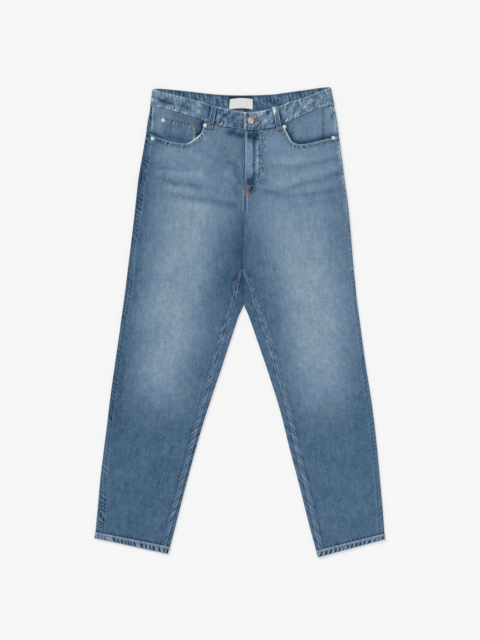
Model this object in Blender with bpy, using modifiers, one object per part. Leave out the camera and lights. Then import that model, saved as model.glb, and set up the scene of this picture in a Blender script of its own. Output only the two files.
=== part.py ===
"""A pair of jeans laid flat on a table, front up, seen as the separate pieces that are cut and sewn.

X runs across the garment, to the wearer's left. Y runs from the hems to the waist. Z runs up from the
table. Sizes are in millimetres and become metres where the meshes are made. Each cloth piece is an
open sheet, worked out along sections of the leg, that gets its wall from a Solidify modifier.
"""

import math

import bpy
import numpy as np

MM = 0.001

CLOTH = 1.2
BAND = 2.4
COIN_CLOTH = 1.0
LABEL_CLOTH = 0.6
SEAM_GAP = 0.3
FOLD_WIDTH = 2.2

# Middle of the garment's outline in the coordinates below. It is moved to the origin.
DRAWN_MIDDLE = (0.65, -0.82)

BELT_LOOP_WIDTH = 12.4
BELT_LOOP_CLOTH = 1.6
RIVET_RADIUS = 4.7
BUTTON_RADIUS = 7.3

# The cloth over the seat is this far above the table, so that back pockets and loops fit under it.
SEAT_LIFT = CLOTH + SEAM_GAP
SEAT_LIFT_FROM_Y = 80.0
SEAT_LIFT_TO_Y = 190.0

# Height of the upper layer over the lower one, middle of wall to middle of wall.
LEG_LAY = 2.9
LEG_FOLD = 4.4
HIP_LAY = 4.4
HIP_FOLD = 4.6
HIP_FROM_Y = 90.0
HIP_TO_Y = 300.0
FOLD_REACH = 16.0
HEM_LAY = 3.2
HEM_FOLD = 4.5

# Rise of the waistband's front over its back, and how far its lower end dips under the upper one.
BAND_RISE = 4.0
BAND_BEND = 2.0
UNDERLAP_DIP = 0.9

# The crotch point, the fork of the legs below it, and the top of the crease that runs down to it.
CROTCH_Y = 121.0
FORK_Y = 42.0
CREASE_TOP_Y = 243.0
CREASE_WIDTH = 9.0
CREASE_HALF_GAP = 0.75
BACK_SEAM_FLAT_Y = 165.0

# The fly: the wearer's left front lies a little over the right one, down to its lowest bar tack.
FLY_BOTTOM_Y = 278.0
FLY_WIDTH = 34.0
FLY_FADE = 16.0
FLY_RISE = 1.1

# Columns: outer fold y, x; inner fold or centre line y, x; outseam and inseam distance from the folds.
RIGHT_SECTIONS = np.array([
    (-474.8, -318.4, -509.3, -159.6, 16.5, 7.0),
    (-461.0, -317.0, -493.5, -153.6, 16.5, 7.0),
    (-400.0, -311.0, -430.0, -137.2, 15.5, 6.0),
    (-330.0, -304.8, -358.0, -118.4, 10.5, 4.5),
    (-250.0, -294.4, -276.0, -96.4, 9.0, 4.0),
    (-170.0, -284.8, -194.0, -71.8, 9.0, 6.5),
    (-90.0, -273.9, -110.0, -43.9, 9.0, 10.5),
    (-30.0, -265.0, -42.0, -21.5, 9.0, 13.0),
    (20.0, -258.2, 12.0, -3.4, 10.5, 16.0),
    (48.0, -254.3, 43.0, 8.2, 12.0, 17.5),
    (84.0, -249.4, 83.0, 7.4, 12.0, 9.0),
    (122.0, -244.9, 121.0, 4.6, 11.0, 0.0),
    (180.0, -237.9, 180.0, 6.2, 10.0, 0.0),
    (243.0, -230.4, 243.0, 11.6, 11.5, 0.0),
    (310.0, -222.9, 310.0, 12.1, 14.0, 0.0),
    (368.0, -213.4, 360.0, 12.3, 14.5, 0.0),
])
LEFT_SECTIONS = np.array([
    (-477.4, 319.7, -517.0, 173.4, 11.0, 4.5),
    (-464.5, 318.2, -502.0, 168.8, 11.0, 4.5),
    (-400.0, 313.2, -437.0, 151.3, 9.0, 6.5),
    (-330.0, 307.0, -364.0, 133.2, 8.5, 8.0),
    (-250.0, 299.1, -280.0, 110.9, 7.7, 9.0),
    (-170.0, 288.9, -196.0, 90.2, 8.0, 11.5),
    (-90.0, 276.5, -112.0, 64.0, 6.0, 15.0),
    (-30.0, 268.2, -44.0, 40.8, 5.0, 18.5),
    (20.0, 261.4, 12.0, 21.2, 5.0, 20.0),
    (48.0, 257.8, 43.0, 10.2, 5.0, 20.0),
    (84.0, 254.2, 83.0, 9.0, 5.0, 10.0),
    (122.0, 250.2, 121.0, 6.2, 5.0, 0.0),
    (180.0, 245.4, 180.0, 7.8, 4.5, 0.0),
    (243.0, 239.7, 243.0, 12.2, 4.5, 0.0),
    (310.0, 231.4, 310.0, 12.6, 4.0, 0.0),
    (368.0, 223.6, 360.0, 12.8, 4.5, 0.0),
])
HEM_TOP_ROW = 1
FRONT_HIP_ROWS = 11
BACK_HIP_ROWS = 5
CROTCH_ROW = 11
LAST_ROW = len(RIGHT_SECTIONS) - 1

# Columns: y, x of the outer fold above the last section, up to the top of the waistband.
RIGHT_SIDE = np.array([(368, -213.4), (400, -207.9), (422, -204.6), (444, -201.4), (458, -198.4), (471, -196.2)])
LEFT_SIDE = np.array([(368, 223.6), (400, 219.4), (422, 216.5), (444, 213.6), (458, 211.0), (471, 207.6)])

# Columns: x, y along the waistband, from the right fold to the left fold.
FRONT_BAND_SEAM = np.array([
    (-196, 476), (-157, 467), (-127, 459), (-92, 448), (-41, 432), (0, 425), (15, 422), (54, 425),
    (80, 430), (106, 441), (141, 456), (176, 471), (207, 477),
])
FRONT_BAND_TOP = np.array([
    (-190, 511), (-158, 503), (-127, 496), (-96, 488), (-65, 479), (-34, 471), (7, 463), (36, 463),
    (69, 470), (90, 476), (111, 485), (129, 490), (150, 497), (176, 506), (200, 513),
])
BACK_BAND_TOP = np.array([
    (-190, 511), (-178, 514.6), (-148, 512), (-108, 508), (-64, 503), (-20, 500), (24, 500), (68, 501.5),
    (112, 507), (156, 513), (188, 517), (200, 513),
])

# Columns: x, y of the pocket mouths, from the side seam up to the waistband.
RIGHT_POCKET_MOUTH = np.array([
    (-194.0, 413.5), (-172.0, 404.2), (-149.7, 397.6), (-126.6, 393.8), (-111.1, 396.0), (-91.2, 410.2),
    (-83.3, 419.3), (-78.5, 436.7),
])
LEFT_POCKET_MOUTH = np.array([
    (209.5, 407.5), (190.0, 403.0), (167.3, 397.5), (140.9, 392.3), (125.3, 393.1), (114.7, 398.4),
    (107.7, 410.7), (97.6, 430.1),
])
# How far the waistband's two side folds lean in from its seam to its top.
BAND_SIDE_SLANTS = {"right": 5.5, "left": 8.0}
POCKET_FACING_LAP = 12.0
COIN_POCKET = {"left_top": (-171.3, 450.5), "right_top": (-95.8, 432.8), "lap": 9.0}

# Folds of the upper layer. Columns: x and y of one end, x and y of the other end, half width, height.
FOLDS = np.array([
    (-196, 350, -90, 356, 9, 0.7),
    (-196, 322, -80, 332, 7, 0.5),
    (-200, 292, -95, 300, 8, 0.6),
    (-190, 337, -100, 344, 4, -0.6),
    (-190, 306, -90, 313, 4, -0.5),
    (112, 358, 216, 378, 6, 0.6),
    (128, 344, 222, 352, 5, -0.6),
    (112, 296, 222, 325, 6, 0.6),
    (112, 274, 230, 296, 6, 0.5),
    (120, 285, 226, 310, 4, -0.5),
    (-16, 346, 2, 322, 5, 0.5),
    (-60, 205, -4, 150, 12, 0.7),
    (18, 165, 80, 215, 12, 0.7),
    (-215, 120, -70, 60, 18, 0.8),
    (40, 20, 190, 70, 20, 0.8),
    (-240, -40, -90, 0, 20, 0.9),
    (60, -60, 210, -20, 20, 0.8),
    (-250, -150, -110, -110, 18, 0.9),
    (110, -140, 260, -170, 18, 0.9),
    (-270, -230, -150, -270, 18, 0.8),
    (130, -240, 280, -280, 18, 0.9),
    (-285, -330, -170, -350, 16, 0.8),
    (170, -350, 295, -380, 16, 0.8),
    (-290, -415, -180, -440, 15, 0.8),
    (190, -445, 305, -430, 15, 0.8),
])

BACK_POCKET = {"width": 140.0, "height": 150.0, "bottom_width": 118.0, "point": 22.0, "turn": 5.0}
BACK_POCKET_CENTRES = {"right": (-104.0, 285.0), "left": (119.0, 285.0)}
YOKE_SIDE_Y = 418.0
YOKE_CENTRE_Y = 385.0
YOKE_TOP_SIDE_Y = 471.8
BACK_BAND_SEAM_SIDE_Y = 473.0
BACK_BAND_SEAM_CENTRE_Y = 459.0

FRONT_BELT_LOOPS = {"right": ((-56.0, 475.5), (-65.2, 425.0)), "left": ((78.0, 474.5), (87.3, 422.5))}
BACK_BELT_LOOPS = {"right": (-130.0, 484.0), "centre": (12.0, 474.0), "left": (150.0, 486.0)}
BACK_BELT_LOOP_LENGTH = 46.0

# Middle of each rivet's head, as x and y.
RIVETS = {
    "rivet_coin_pocket": (-168.0, 444.5),
    "rivet_right_side": (-191.5, 404.2),
    "rivet_right_inner": (-75.8, 433.4),
    "rivet_left_inner": (98.6, 430.0),
    "rivet_left_side": (206.7, 405.8),
}
BUTTON_PLACE = (24.5, 443.5)
UNDERLAP_END_X = 50.0
OVERLAP_END_X = 10.5
OVERLAP_RAMP = 40.0

LABEL_CORNERS = {"x": (-23.4, 29.1), "top": 491.5, "bottom": 469.5}

# Colour, roughness and metallic value of each kind of piece.
COLOURS = {
    "front_panel": ("6d869c", 0.85, 0.0),
    "back_panel": ("566f86", 0.85, 0.0),
    "back_yoke": ("5a738a", 0.85, 0.0),
    "waistband": ("657c90", 0.85, 0.0),
    "pocket_facing": ("5a7188", 0.85, 0.0),
    "coin_pocket": ("4c657c", 0.85, 0.0),
    "back_pocket": ("5d748b", 0.85, 0.0),
    "belt_loop": ("5d748b", 0.85, 0.0),
    "hem": ("506b83", 0.85, 0.0),
    "label": ("dfe2e2", 0.7, 0.0),
    "rivet": ("cfd6d8", 0.35, 1.0),
    "button": ("b3a49a", 0.4, 1.0),
}


def smoothstep(value, low, high):
    """0 below low and 1 above high, with a soft start and end between them."""
    t = np.clip((np.asarray(value, float) - low) / (high - low), 0.0, 1.0)
    return t * t * (3.0 - 2.0 * t)


def bump(distance, reach):
    return np.exp(-np.square(np.asarray(distance, float) / reach))


def through(rows, places):
    """A smooth curve through the table's rows, read at fractional row numbers."""
    places = np.clip(np.asarray(places, float), 0.0, len(rows) - 1.0)
    padded = np.vstack([2 * rows[0] - rows[1], rows, 2 * rows[-1] - rows[-2]])
    cell = np.minimum(places.astype(int), len(rows) - 2)
    t = (places - cell)[:, None]
    before, start, end, after = (padded[cell + k] for k in range(4))
    return start + 0.5 * t * (
        end - before + t * (2 * before - 5 * start + 4 * end - after + t * (3 * (start - end) + after - before))
    )


def line_y(table, x):
    """Height of a seam or edge table at x, on a smooth curve through its rows."""
    fine = through(table, np.linspace(0, len(table) - 1, 12 * len(table)))
    order = np.argsort(fine[:, 0])
    return np.interp(x, fine[order, 0], fine[order, 1])


def table_lift(y):
    """Height of the underside above the table."""
    return SEAT_LIFT * smoothstep(y, SEAT_LIFT_FROM_Y, SEAT_LIFT_TO_Y)


def lower_height(y):
    """Middle of the lower layer's wall."""
    return table_lift(y) + CLOTH / 2


def fold_height(y):
    return LEG_FOLD + (HIP_FOLD - LEG_FOLD) * smoothstep(y, HIP_FROM_Y, HIP_TO_Y)


def lay_height(y):
    return LEG_LAY + (HIP_LAY - LEG_LAY) * smoothstep(y, HIP_FROM_Y, HIP_TO_Y)


def fold_relief(x, y):
    """Sum of the folds in FOLDS: each is a soft ridge or trough along a line, fading at its two ends."""
    total = np.zeros(np.broadcast(x, y).shape)
    for x0, y0, x1, y1, half_width, height in FOLDS:
        length = math.hypot(x1 - x0, y1 - y0)
        along = ((x - x0) * (x1 - x0) + (y - y0) * (y1 - y0)) / length
        across = ((x - x0) * (y1 - y0) - (y - y0) * (x1 - x0)) / length
        fade = smoothstep(along, 0, length / 3) * (1 - smoothstep(along, length * 2 / 3, length))
        total += height * fade * bump(across, half_width)
    return total


class Leg:
    """One side of the garment: where its folds and seams run, and how high its upper layer lies."""

    def __init__(self, side, sections, outer_side):
        self.side = side
        self.sections = sections
        self.outward = -1.0 if side == "right" else 1.0
        fine = through(sections, np.linspace(0, LAST_ROW, 30 * LAST_ROW))
        self.outer_y = np.append(fine[:, 0], outer_side[1:, 0])
        self.outer_line = np.append(fine[:, 1], outer_side[1:, 1])
        self.inner_y = fine[:, 2]
        self.inner_line = fine[:, 3]

    def outer_x(self, y):
        return np.interp(y, self.outer_y, self.outer_line)

    def inner_x(self, y):
        return np.interp(y, self.inner_y, self.inner_line)

    def upper_height(self, x, y):
        """Middle of the upper layer's wall: low in the middle of the leg, higher towards its folds."""
        outer = np.maximum(np.abs(x - self.outer_x(y)) - FOLD_WIDTH, 0.0)
        inner = np.maximum(np.abs(x - self.inner_x(y)) - FOLD_WIDTH, 0.0)
        inner_weight = 1 - smoothstep(y, CROTCH_Y, CREASE_TOP_Y)
        edges = np.minimum(bump(outer, FOLD_REACH) + inner_weight * bump(inner, FOLD_REACH), 1.0)
        rise = (fold_height(y) - lay_height(y)) * edges
        fly = 0.0
        if self.side == "left":
            from_edge = np.abs(x - self.inner_x(y))
            fly = FLY_RISE * (1 - smoothstep(from_edge, FLY_WIDTH, FLY_WIDTH + FLY_FADE))
            fly = fly * smoothstep(y, FLY_BOTTOM_Y, FLY_BOTTOM_Y + FLY_WIDTH)
        return lower_height(y) + lay_height(y) + rise + fly + fold_relief(x, y)

    def bend(self, arc, x_fold, y, inward):
        """A point on the fold's round edge, arc millimetres from where it leaves the lower layer.

        The bend is half an ellipse from the lower to the upper layer. Below it the point runs back
        along the lower layer, and past it along the upper one.
        """
        half_turn = math.pi * FOLD_WIDTH
        angle = np.clip(arc, 0.0, half_turn) / FOLD_WIDTH
        level_in = np.maximum(-arc, 0.0) + np.maximum(arc - half_turn, 0.0)
        x = x_fold + inward * (FOLD_WIDTH * (1 - np.sin(angle)) + level_in)
        top = self.upper_height(np.where(arc > half_turn, x, x_fold + inward * FOLD_WIDTH), y)
        half_height = (top - lower_height(y)) / 2
        return x, lower_height(y) + half_height * (1 - np.cos(angle))


def inner_seam_arc(inset, y):
    """How far up the inner fold the inseam lies, from the lower layer, for its distance from the fold."""
    on_bend = np.arccos(np.clip(1 - inset / FOLD_WIDTH, 0.0, 1.0)) + math.pi / 2
    along = np.where(inset > FOLD_WIDTH, math.pi * FOLD_WIDTH + inset - FOLD_WIDTH, on_bend * FOLD_WIDTH)
    fade = 1 - smoothstep(y, CROTCH_Y, BACK_SEAM_FLAT_Y)
    return along * fade


def section_lines(leg, places):
    """Section ends as columns: outer point, inner point, outseam and inseam distance."""
    rows = through(leg.sections, places)
    rows[:, 5] = np.maximum(rows[:, 5], 0.0)
    return rows


def centre_gap(y):
    """Distance of the fold's middle line from the centre line, wider where the cloth folds down."""
    return SEAM_GAP / 2 + (CREASE_HALF_GAP - SEAM_GAP / 2) * (1 - smoothstep(y, 200.0, CREASE_TOP_Y))


def back_ring(leg, outer, inner, outseam, inseam, centre_offset):
    """The lower layer with both folds and lips, at every section, as a grid of points.

    outer and inner are the section ends. outseam and inseam are the lips' widths. Each part of the
    ring has its own columns: outer lip, outer bend, lower layer, inner bend, inner lip.
    """
    inward = -leg.outward
    half_turn = math.pi * FOLD_WIDTH
    flat_start = 3.0
    shortest_lip = 0.8
    slope = (inner[:, 1] - outer[:, 1]) / np.abs(inner[:, 0] - outer[:, 0])

    outer_lip = np.maximum(outseam - FOLD_WIDTH - SEAM_GAP / 2, shortest_lip)
    outer_arcs = [half_turn + outer_lip * k for k in (1.0, 0.5)]
    outer_arcs += [np.full_like(outer_lip, half_turn * k / 5) for k in range(5, -1, -1)]
    outer_arcs += [np.full_like(outer_lip, -flat_start)]
    outer_arcs = np.array(outer_arcs).T
    across = FOLD_WIDTH * (1 - np.sin(np.clip(outer_arcs, 0, half_turn) / FOLD_WIDTH))
    across += np.maximum(-outer_arcs, 0) + np.maximum(outer_arcs - half_turn, 0)
    outer_y = outer[:, 1:2] + slope[:, None] * across
    outer_x, outer_z = leg.bend(outer_arcs, outer[:, :1], outer_y, inward)

    end_arc = inner_seam_arc(inseam, inner[:, 1]) - SEAM_GAP * (0.5 + 1.6 * bump(inner[:, 1] - CROTCH_Y, 18.0))
    end_arc = np.maximum(end_arc, 0.0)
    bend_end = np.minimum(half_turn, end_arc - shortest_lip)
    inner_arcs = [-flat_start + (bend_end + flat_start) * k / 6 for k in range(7)]
    inner_arcs += [bend_end + (end_arc - bend_end) * k for k in (0.5, 1.0)]
    inner_arcs = np.array(inner_arcs).T
    reach = np.sin(np.clip(end_arc, 0, half_turn / 2) / FOLD_WIDTH)
    shift = (1 - reach) * (FOLD_WIDTH + centre_offset - SEAM_GAP / 2)
    across = FOLD_WIDTH * (1 - np.sin(np.clip(inner_arcs, 0, half_turn) / FOLD_WIDTH))
    across += np.maximum(-inner_arcs, 0) + np.maximum(inner_arcs - half_turn, 0) - shift[:, None]
    inner_y = inner[:, 1:2] - slope[:, None] * across
    inner_x, inner_z = leg.bend(inner_arcs, inner[:, :1], inner_y, leg.outward)
    inner_x = inner_x + inward * shift[:, None]

    middle = []
    for k in (0.25, 0.5, 0.75):
        x = outer_x[:, -1] + (inner_x[:, 0] - outer_x[:, -1]) * k
        y = outer_y[:, -1] + (inner_y[:, 0] - outer_y[:, -1]) * k
        middle.append(np.stack([x, y, lower_height(y)], axis=-1))
    outer_part = np.stack([outer_x, outer_y, outer_z], axis=-1)
    inner_part = np.stack([inner_x, inner_y, inner_z], axis=-1)
    return np.concatenate([outer_part, np.stack(middle, axis=1), inner_part], axis=1)


def section_places(hip_rows):
    """Row numbers from the top of the hem to the last section, closer together round the crotch."""
    leg_places = np.linspace(HEM_TOP_ROW, CROTCH_ROW - 2.5, 14, endpoint=False)
    crotch_places = np.linspace(CROTCH_ROW - 2.5, CROTCH_ROW + 1.5, 13, endpoint=False)
    hip_places = np.linspace(CROTCH_ROW + 1.5, LAST_ROW, hip_rows)
    return np.concatenate([leg_places, crotch_places, hip_places])


def back_panel(leg):
    """From the hem to the yoke seam, with its lips round both folds up to the outseam and inseam."""
    rows = section_lines(leg, section_places(BACK_HIP_ROWS))
    yoke_outer = (leg.outer_x(YOKE_SIDE_Y), YOKE_SIDE_Y)
    yoke_inner = (rows[-1, 3], YOKE_CENTRE_Y)
    hip_outer = (rows[-1, 1], rows[-1, 0])
    hip_inner = (rows[-1, 3], rows[-1, 2])
    outer = np.vstack([rows[:, [1, 0]], halfway(hip_outer, yoke_outer, leg), yoke_outer])
    inner = np.vstack([rows[:, [3, 2]], np.mean([hip_inner, yoke_inner], axis=0), yoke_inner])
    outseam = np.append(rows[:, 4], [rows[-1, 4]] * 2)
    inseam = np.append(rows[:, 5], [0.0, 0.0])
    outer[0, 1] += SEAM_GAP
    inner[0, 1] += SEAM_GAP
    return ring_with_centre(leg, outer, inner, outseam, inseam)


def halfway(low, high, leg):
    y = (low[1] + high[1]) / 2
    return (leg.outer_x(y), y)


def ring_with_centre(leg, outer, inner, outseam, inseam):
    """back_ring with the inner line moved off the centre line where the two legs meet."""
    offset = np.where(inner[:, 1] > FORK_Y, centre_gap(inner[:, 1]), 0.0)
    moved = inner.copy()
    moved[:, 0] += leg.outward * offset
    return back_ring(leg, outer, moved, outseam, inseam, offset)


def yoke(leg):
    """From the yoke seam to the back seam of the waistband."""
    share = np.linspace(0, 1, 5)
    outer_y = YOKE_SIDE_Y + SEAM_GAP + (YOKE_TOP_SIDE_Y - YOKE_SIDE_Y - SEAM_GAP) * share
    inner_y = YOKE_CENTRE_Y + SEAM_GAP + (BACK_BAND_SEAM_CENTRE_Y - YOKE_CENTRE_Y - SEAM_GAP) * share
    outer = np.stack([leg.outer_x(outer_y), outer_y], axis=-1)
    inner = np.stack([np.full(5, leg.sections[-1, 3]), inner_y], axis=-1)
    return ring_with_centre(leg, outer, inner, np.full(5, leg.sections[-1, 4]), np.zeros(5))


def front_edge(leg, rows):
    """The front panel's inner edge: on the inseam, round the fold at the crotch, then up the centre."""
    y = rows[:, 2]
    inset = rows[:, 5]
    offset = np.where(y > FORK_Y, centre_gap(y), 0.0)
    fold_x = rows[:, 3] + leg.outward * offset
    arc = inner_seam_arc(inset, np.minimum(y, CROTCH_Y)) + SEAM_GAP / 2
    x, z = leg.bend(arc, fold_x, y, leg.outward)
    distance = np.abs(x - fold_x)
    upper = leg.upper_height(fold_x, y)
    rising = smoothstep(y, CROTCH_Y, CREASE_TOP_Y)
    above = y > CROTCH_Y
    z = np.where(above, z + (upper - z) * rising, z)
    distance = np.where(above, 0.0, distance)
    return fold_x, distance, z


def mouth_on_leg(leg, mouth):
    """The pocket mouth's table with its first row moved to the outseam."""
    mouth = np.array(mouth, float)
    inset = leg.sections[-1, 4] + 1.5 * SEAM_GAP
    mouth[0, 0] = leg.outer_x(mouth[0, 1]) - leg.outward * inset
    return mouth


def front_panel(leg, mouth):
    """From the hem to the waistband seam and the pocket mouth, and from the outseam to the centre."""
    rows = section_lines(leg, section_places(FRONT_HIP_ROWS))
    rows[0, [0, 2]] += SEAM_GAP
    inward = -leg.outward
    fold_x, distance, edge_z = front_edge(leg, rows)
    slope = (rows[:, 2] - rows[:, 0]) / np.abs(rows[:, 3] - rows[:, 1])
    start = rows[:, 4] + SEAM_GAP / 2
    near = (0.0, 0.56, 2.1, 6.0)
    width = np.abs(fold_x - rows[:, 1])
    inner_columns = np.array([width - distance - k for k in near[::-1]]).T
    shares = mouth_shares(leg, mouth)
    outer_columns = start[:, None] + (inner_columns[:, :1] - start[:, None]) * shares
    across = np.concatenate([outer_columns, inner_columns[:, 1:]], axis=1)
    x = rows[:, 1:2] + inward * across
    y = rows[:, :1] + slope[:, None] * across
    z = leg.upper_height(x, y)
    from_fold = np.abs(x - fold_x[:, None])
    rising = smoothstep(y, CROTCH_Y, CREASE_TOP_Y)
    crease_width = FOLD_WIDTH + (CREASE_WIDTH - FOLD_WIDTH) * rising
    t = np.clip(from_fold / crease_width, 0, 1)
    z = edge_dip(z, edge_z, t, distance, crease_width)
    lower = np.stack([x, y, z], axis=-1)

    top = top_edge(leg, mouth, len(shares), near)
    last = lower[-1]
    upper = []
    for k in (0.25, 0.5, 0.75, 1.0):
        xy = last[:, :2] + (top - last[:, :2]) * k
        upper.append(np.column_stack([xy, leg.upper_height(xy[:, 0], xy[:, 1])]))
    return np.concatenate([lower, np.array(upper)], axis=0)


def edge_dip(z, edge_z, t, distance, crease_width):
    """Bends the upper layer down to its inner edge on a quarter ellipse, where it folds or creases."""
    start = np.clip(distance / crease_width[:, -1], 0, 1)
    rim = np.sqrt(1 - np.square(1 - start))
    full = z[:, -1:] - (z[:, -1:] - edge_z[:, None]) / np.maximum(1 - rim, 1e-6)[:, None]
    curve = np.sqrt(1 - np.square(1 - t))
    dips = (start < 1)[:, None] & (t < 1)
    return np.where(dips, z - (z[:, -1:] - full) * (1 - curve), z)


def mouth_shares(leg, mouth):
    """Where the columns lie across the panel, with one at the inner end of the pocket mouth."""
    width = abs(leg.sections[-1, 3] - mouth[0, 0]) - 6.0
    corner = abs(mouth[-1, 0] - mouth[0, 0]) / width
    return np.concatenate([np.linspace(0, corner, 8), np.linspace(corner, 1, 5)[1:]])


def top_edge(leg, mouth, columns, near):
    """The panel's upper edge: the pocket mouth, then the waistband seam, as one point per column."""
    along_mouth = through(mouth, np.linspace(0, len(mouth) - 1, 8))
    centre = leg.sections[-1, 3] + leg.outward * SEAM_GAP / 2
    x = np.linspace(mouth[-1, 0], centre + leg.outward * near[-1], columns - 7)[1:]
    x = np.append(x, [centre + leg.outward * k for k in near[2::-1]])
    along_seam = np.column_stack([x, line_y(FRONT_BAND_SEAM, x) - SEAM_GAP])
    return np.vstack([along_mouth, along_seam])


def hem(leg):
    """The turned-up end of the leg: a closed band of double cloth round both layers."""
    places = np.linspace(0, HEM_TOP_ROW, 4)
    rows = section_lines(leg, places)
    points = []
    for row in rows:
        outer = np.array([row[1], row[0]])
        inner = np.array([row[3], row[2]])
        length = np.linalg.norm(inner - outer)
        direction = (inner - outer) / length
        low = BAND / 2
        high_fold = low + HEM_FOLD
        angles = np.linspace(0, math.pi, 7)
        run = np.linspace(0, 1, 11)[1:-1]
        lower = FOLD_WIDTH + (length - 2 * FOLD_WIDTH) * run
        upper = lower[::-1]
        edge = bump(upper - FOLD_WIDTH, FOLD_REACH) + bump(length - upper - FOLD_WIDTH, FOLD_REACH)
        middle_rise = high_fold - low - HEM_LAY
        upper_z = high_fold - middle_rise * (1 - edge)
        inner_bend = length - FOLD_WIDTH * (1 - np.sin(angles))
        outer_bend = FOLD_WIDTH * (1 - np.sin(angles[::-1]))
        bend_z = low + (high_fold - low) * (1 - np.cos(angles)) / 2
        across = np.concatenate([lower, inner_bend, upper, outer_bend])
        z = np.concatenate([np.full(len(lower), low), bend_z, upper_z, bend_z[::-1]])
        points.append(np.column_stack([outer + direction * across[:, None], z]))
    return np.array(points)


def pocket_facing(leg, mouth, depth):
    """The cloth behind the pocket mouth, from the waistband seam to a lap under the front panel."""
    share = np.linspace(0, 1, 11)
    corner = mouth[-1, 0]
    bottom = through(mouth, share * (len(mouth) - 1))
    inward = -leg.outward
    side_x = leg.outer_x(bottom[0, 1]) + inward * (leg.sections[-1, 4] + SEAM_GAP / 2)
    bottom[:, 1] -= POCKET_FACING_LAP * (1 - 0.6 * share)
    bottom[:, 0] += inward * POCKET_FACING_LAP * share * 0.7
    bottom[0, 0] = side_x
    top_side = leg.outer_x(470.0) + inward * (leg.sections[-1, 4] + SEAM_GAP / 2)
    top_x = top_side + (corner + inward * POCKET_FACING_LAP * 0.7 - top_side) * share
    top = np.column_stack([top_x, line_y(FRONT_BAND_SEAM, top_x) - SEAM_GAP])
    rows = []
    for k in np.linspace(0, 1, 6):
        xy = bottom + (top - bottom) * k
        z = leg.upper_height(xy[:, 0], xy[:, 1]) - depth
        rows.append(np.column_stack([xy, z]))
    return np.array(rows)


def coin_pocket(leg, mouth, depth):
    """The small pocket on the right facing, from its top edge to a lap under the front panel."""
    share = np.linspace(0, 1, 7)
    start = np.array(COIN_POCKET["left_top"])
    end = np.array(COIN_POCKET["right_top"])
    top = start + (end - start) * share[:, None]
    fine = through(mouth, np.linspace(0, len(mouth) - 1, 80))
    x = top[:, 0] + np.linspace(2.0, -2.0, 7)
    bottom = np.column_stack([x, np.interp(x, fine[:, 0], fine[:, 1]) - COIN_POCKET["lap"]])
    rows = []
    for k in np.linspace(0, 1, 5):
        xy = bottom + (top - bottom) * k
        z = leg.upper_height(xy[:, 0], xy[:, 1]) - depth
        rows.append(np.column_stack([xy, z]))
    return np.array(rows)


def waistband():
    """One strip folded at both sides: right front end, right fold, back, left fold, left front end."""
    rise = BAND_RISE
    low = SEAT_LIFT + BAND / 2
    high = low + rise
    bend = BAND_BEND
    right_x = RIGHT_LEG.outer_x(471.0)
    left_x = LEFT_LEG.outer_x(471.0)
    angles = np.linspace(0, math.pi, 7)[1:-1]

    def across(x, top_table, z, seam=None):
        top = line_y(top_table, x)
        bottom = line_y(FRONT_BAND_SEAM, x) if seam is None else seam
        return np.column_stack([x, bottom, top, z])

    front_right = np.linspace(UNDERLAP_END_X, right_x + bend, 16)
    dip = underlap_dip(front_right)
    columns = [across(front_right, FRONT_BAND_TOP, high - dip)]
    x = right_x + bend * (1 - np.sin(angles))
    columns.append(across(x, FRONT_BAND_TOP, low + rise * (1 + np.cos(angles)) / 2))
    back = np.linspace(right_x + bend, left_x - bend, 14)
    seam = BACK_BAND_SEAM_CENTRE_Y + SEAM_GAP + (
        BACK_BAND_SEAM_SIDE_Y - BACK_BAND_SEAM_CENTRE_Y
    ) * np.clip(np.abs(back - 12.0) / 200.0, 0, 1)
    columns.append(across(back, BACK_BAND_TOP, np.full(len(back), low), seam))
    x = left_x - bend * (1 - np.sin(angles))
    columns.append(across(x, FRONT_BAND_TOP, low + rise * (1 - np.cos(angles)) / 2))
    front_left = np.linspace(left_x - bend, OVERLAP_END_X, 16)
    lift = overlap_lift(front_left)
    columns.append(across(front_left, FRONT_BAND_TOP, high + lift))
    strip = np.vstack(columns)
    middle = (right_x + left_x) / 2
    from_middle = (strip[:, 0] - middle) / (left_x - middle)
    slant = np.where(from_middle < 0, BAND_SIDE_SLANTS["right"], -BAND_SIDE_SLANTS["left"]) * from_middle**4
    rows = []
    for k in np.linspace(0, 1, 5):
        y = strip[:, 1] + (strip[:, 2] - strip[:, 1]) * k
        rows.append(np.column_stack([strip[:, 0] + slant * k, y, strip[:, 3]]))
    return np.array(rows)


def underlap_dip(x):
    """How far the band's right end lies below the rest of its front, at x."""
    return UNDERLAP_DIP * smoothstep(x, OVERLAP_END_X - OVERLAP_RAMP, OVERLAP_END_X - 5.0)


def overlap_lift(x):
    """How far the band's left end lies above the rest of its front, at x."""
    lift = BAND + SEAM_GAP - UNDERLAP_DIP
    return lift * (1 - smoothstep(x, UNDERLAP_END_X + 4.0, UNDERLAP_END_X + OVERLAP_RAMP))


def front_band_height(x):
    """Upper face of the waistband's front, at x."""
    high = SEAT_LIFT + BAND + BAND_RISE
    return high + np.where(x > OVERLAP_END_X, overlap_lift(x), -underlap_dip(x))


def front_belt_loop(top, bottom):
    """A flat strip over the waistband, sewn at both ends and a little clear of it between them."""
    share = np.linspace(0, 1, 9)
    top = np.array(top)
    bottom = np.array(bottom)
    middle = top + (bottom - top) * share[:, None]
    along = (bottom - top) / np.linalg.norm(bottom - top)
    side = np.array([-along[1], along[0]]) * BELT_LOOP_WIDTH / 2
    rest = front_band_height(middle[:, 0]).max() + SEAM_GAP + BELT_LOOP_CLOTH / 2
    z = rest + 1.0 * np.sin(math.pi * share)
    return np.array([np.column_stack([middle + side * k, z]) for k in (-1.0, 0.0, 1.0)])


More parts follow.
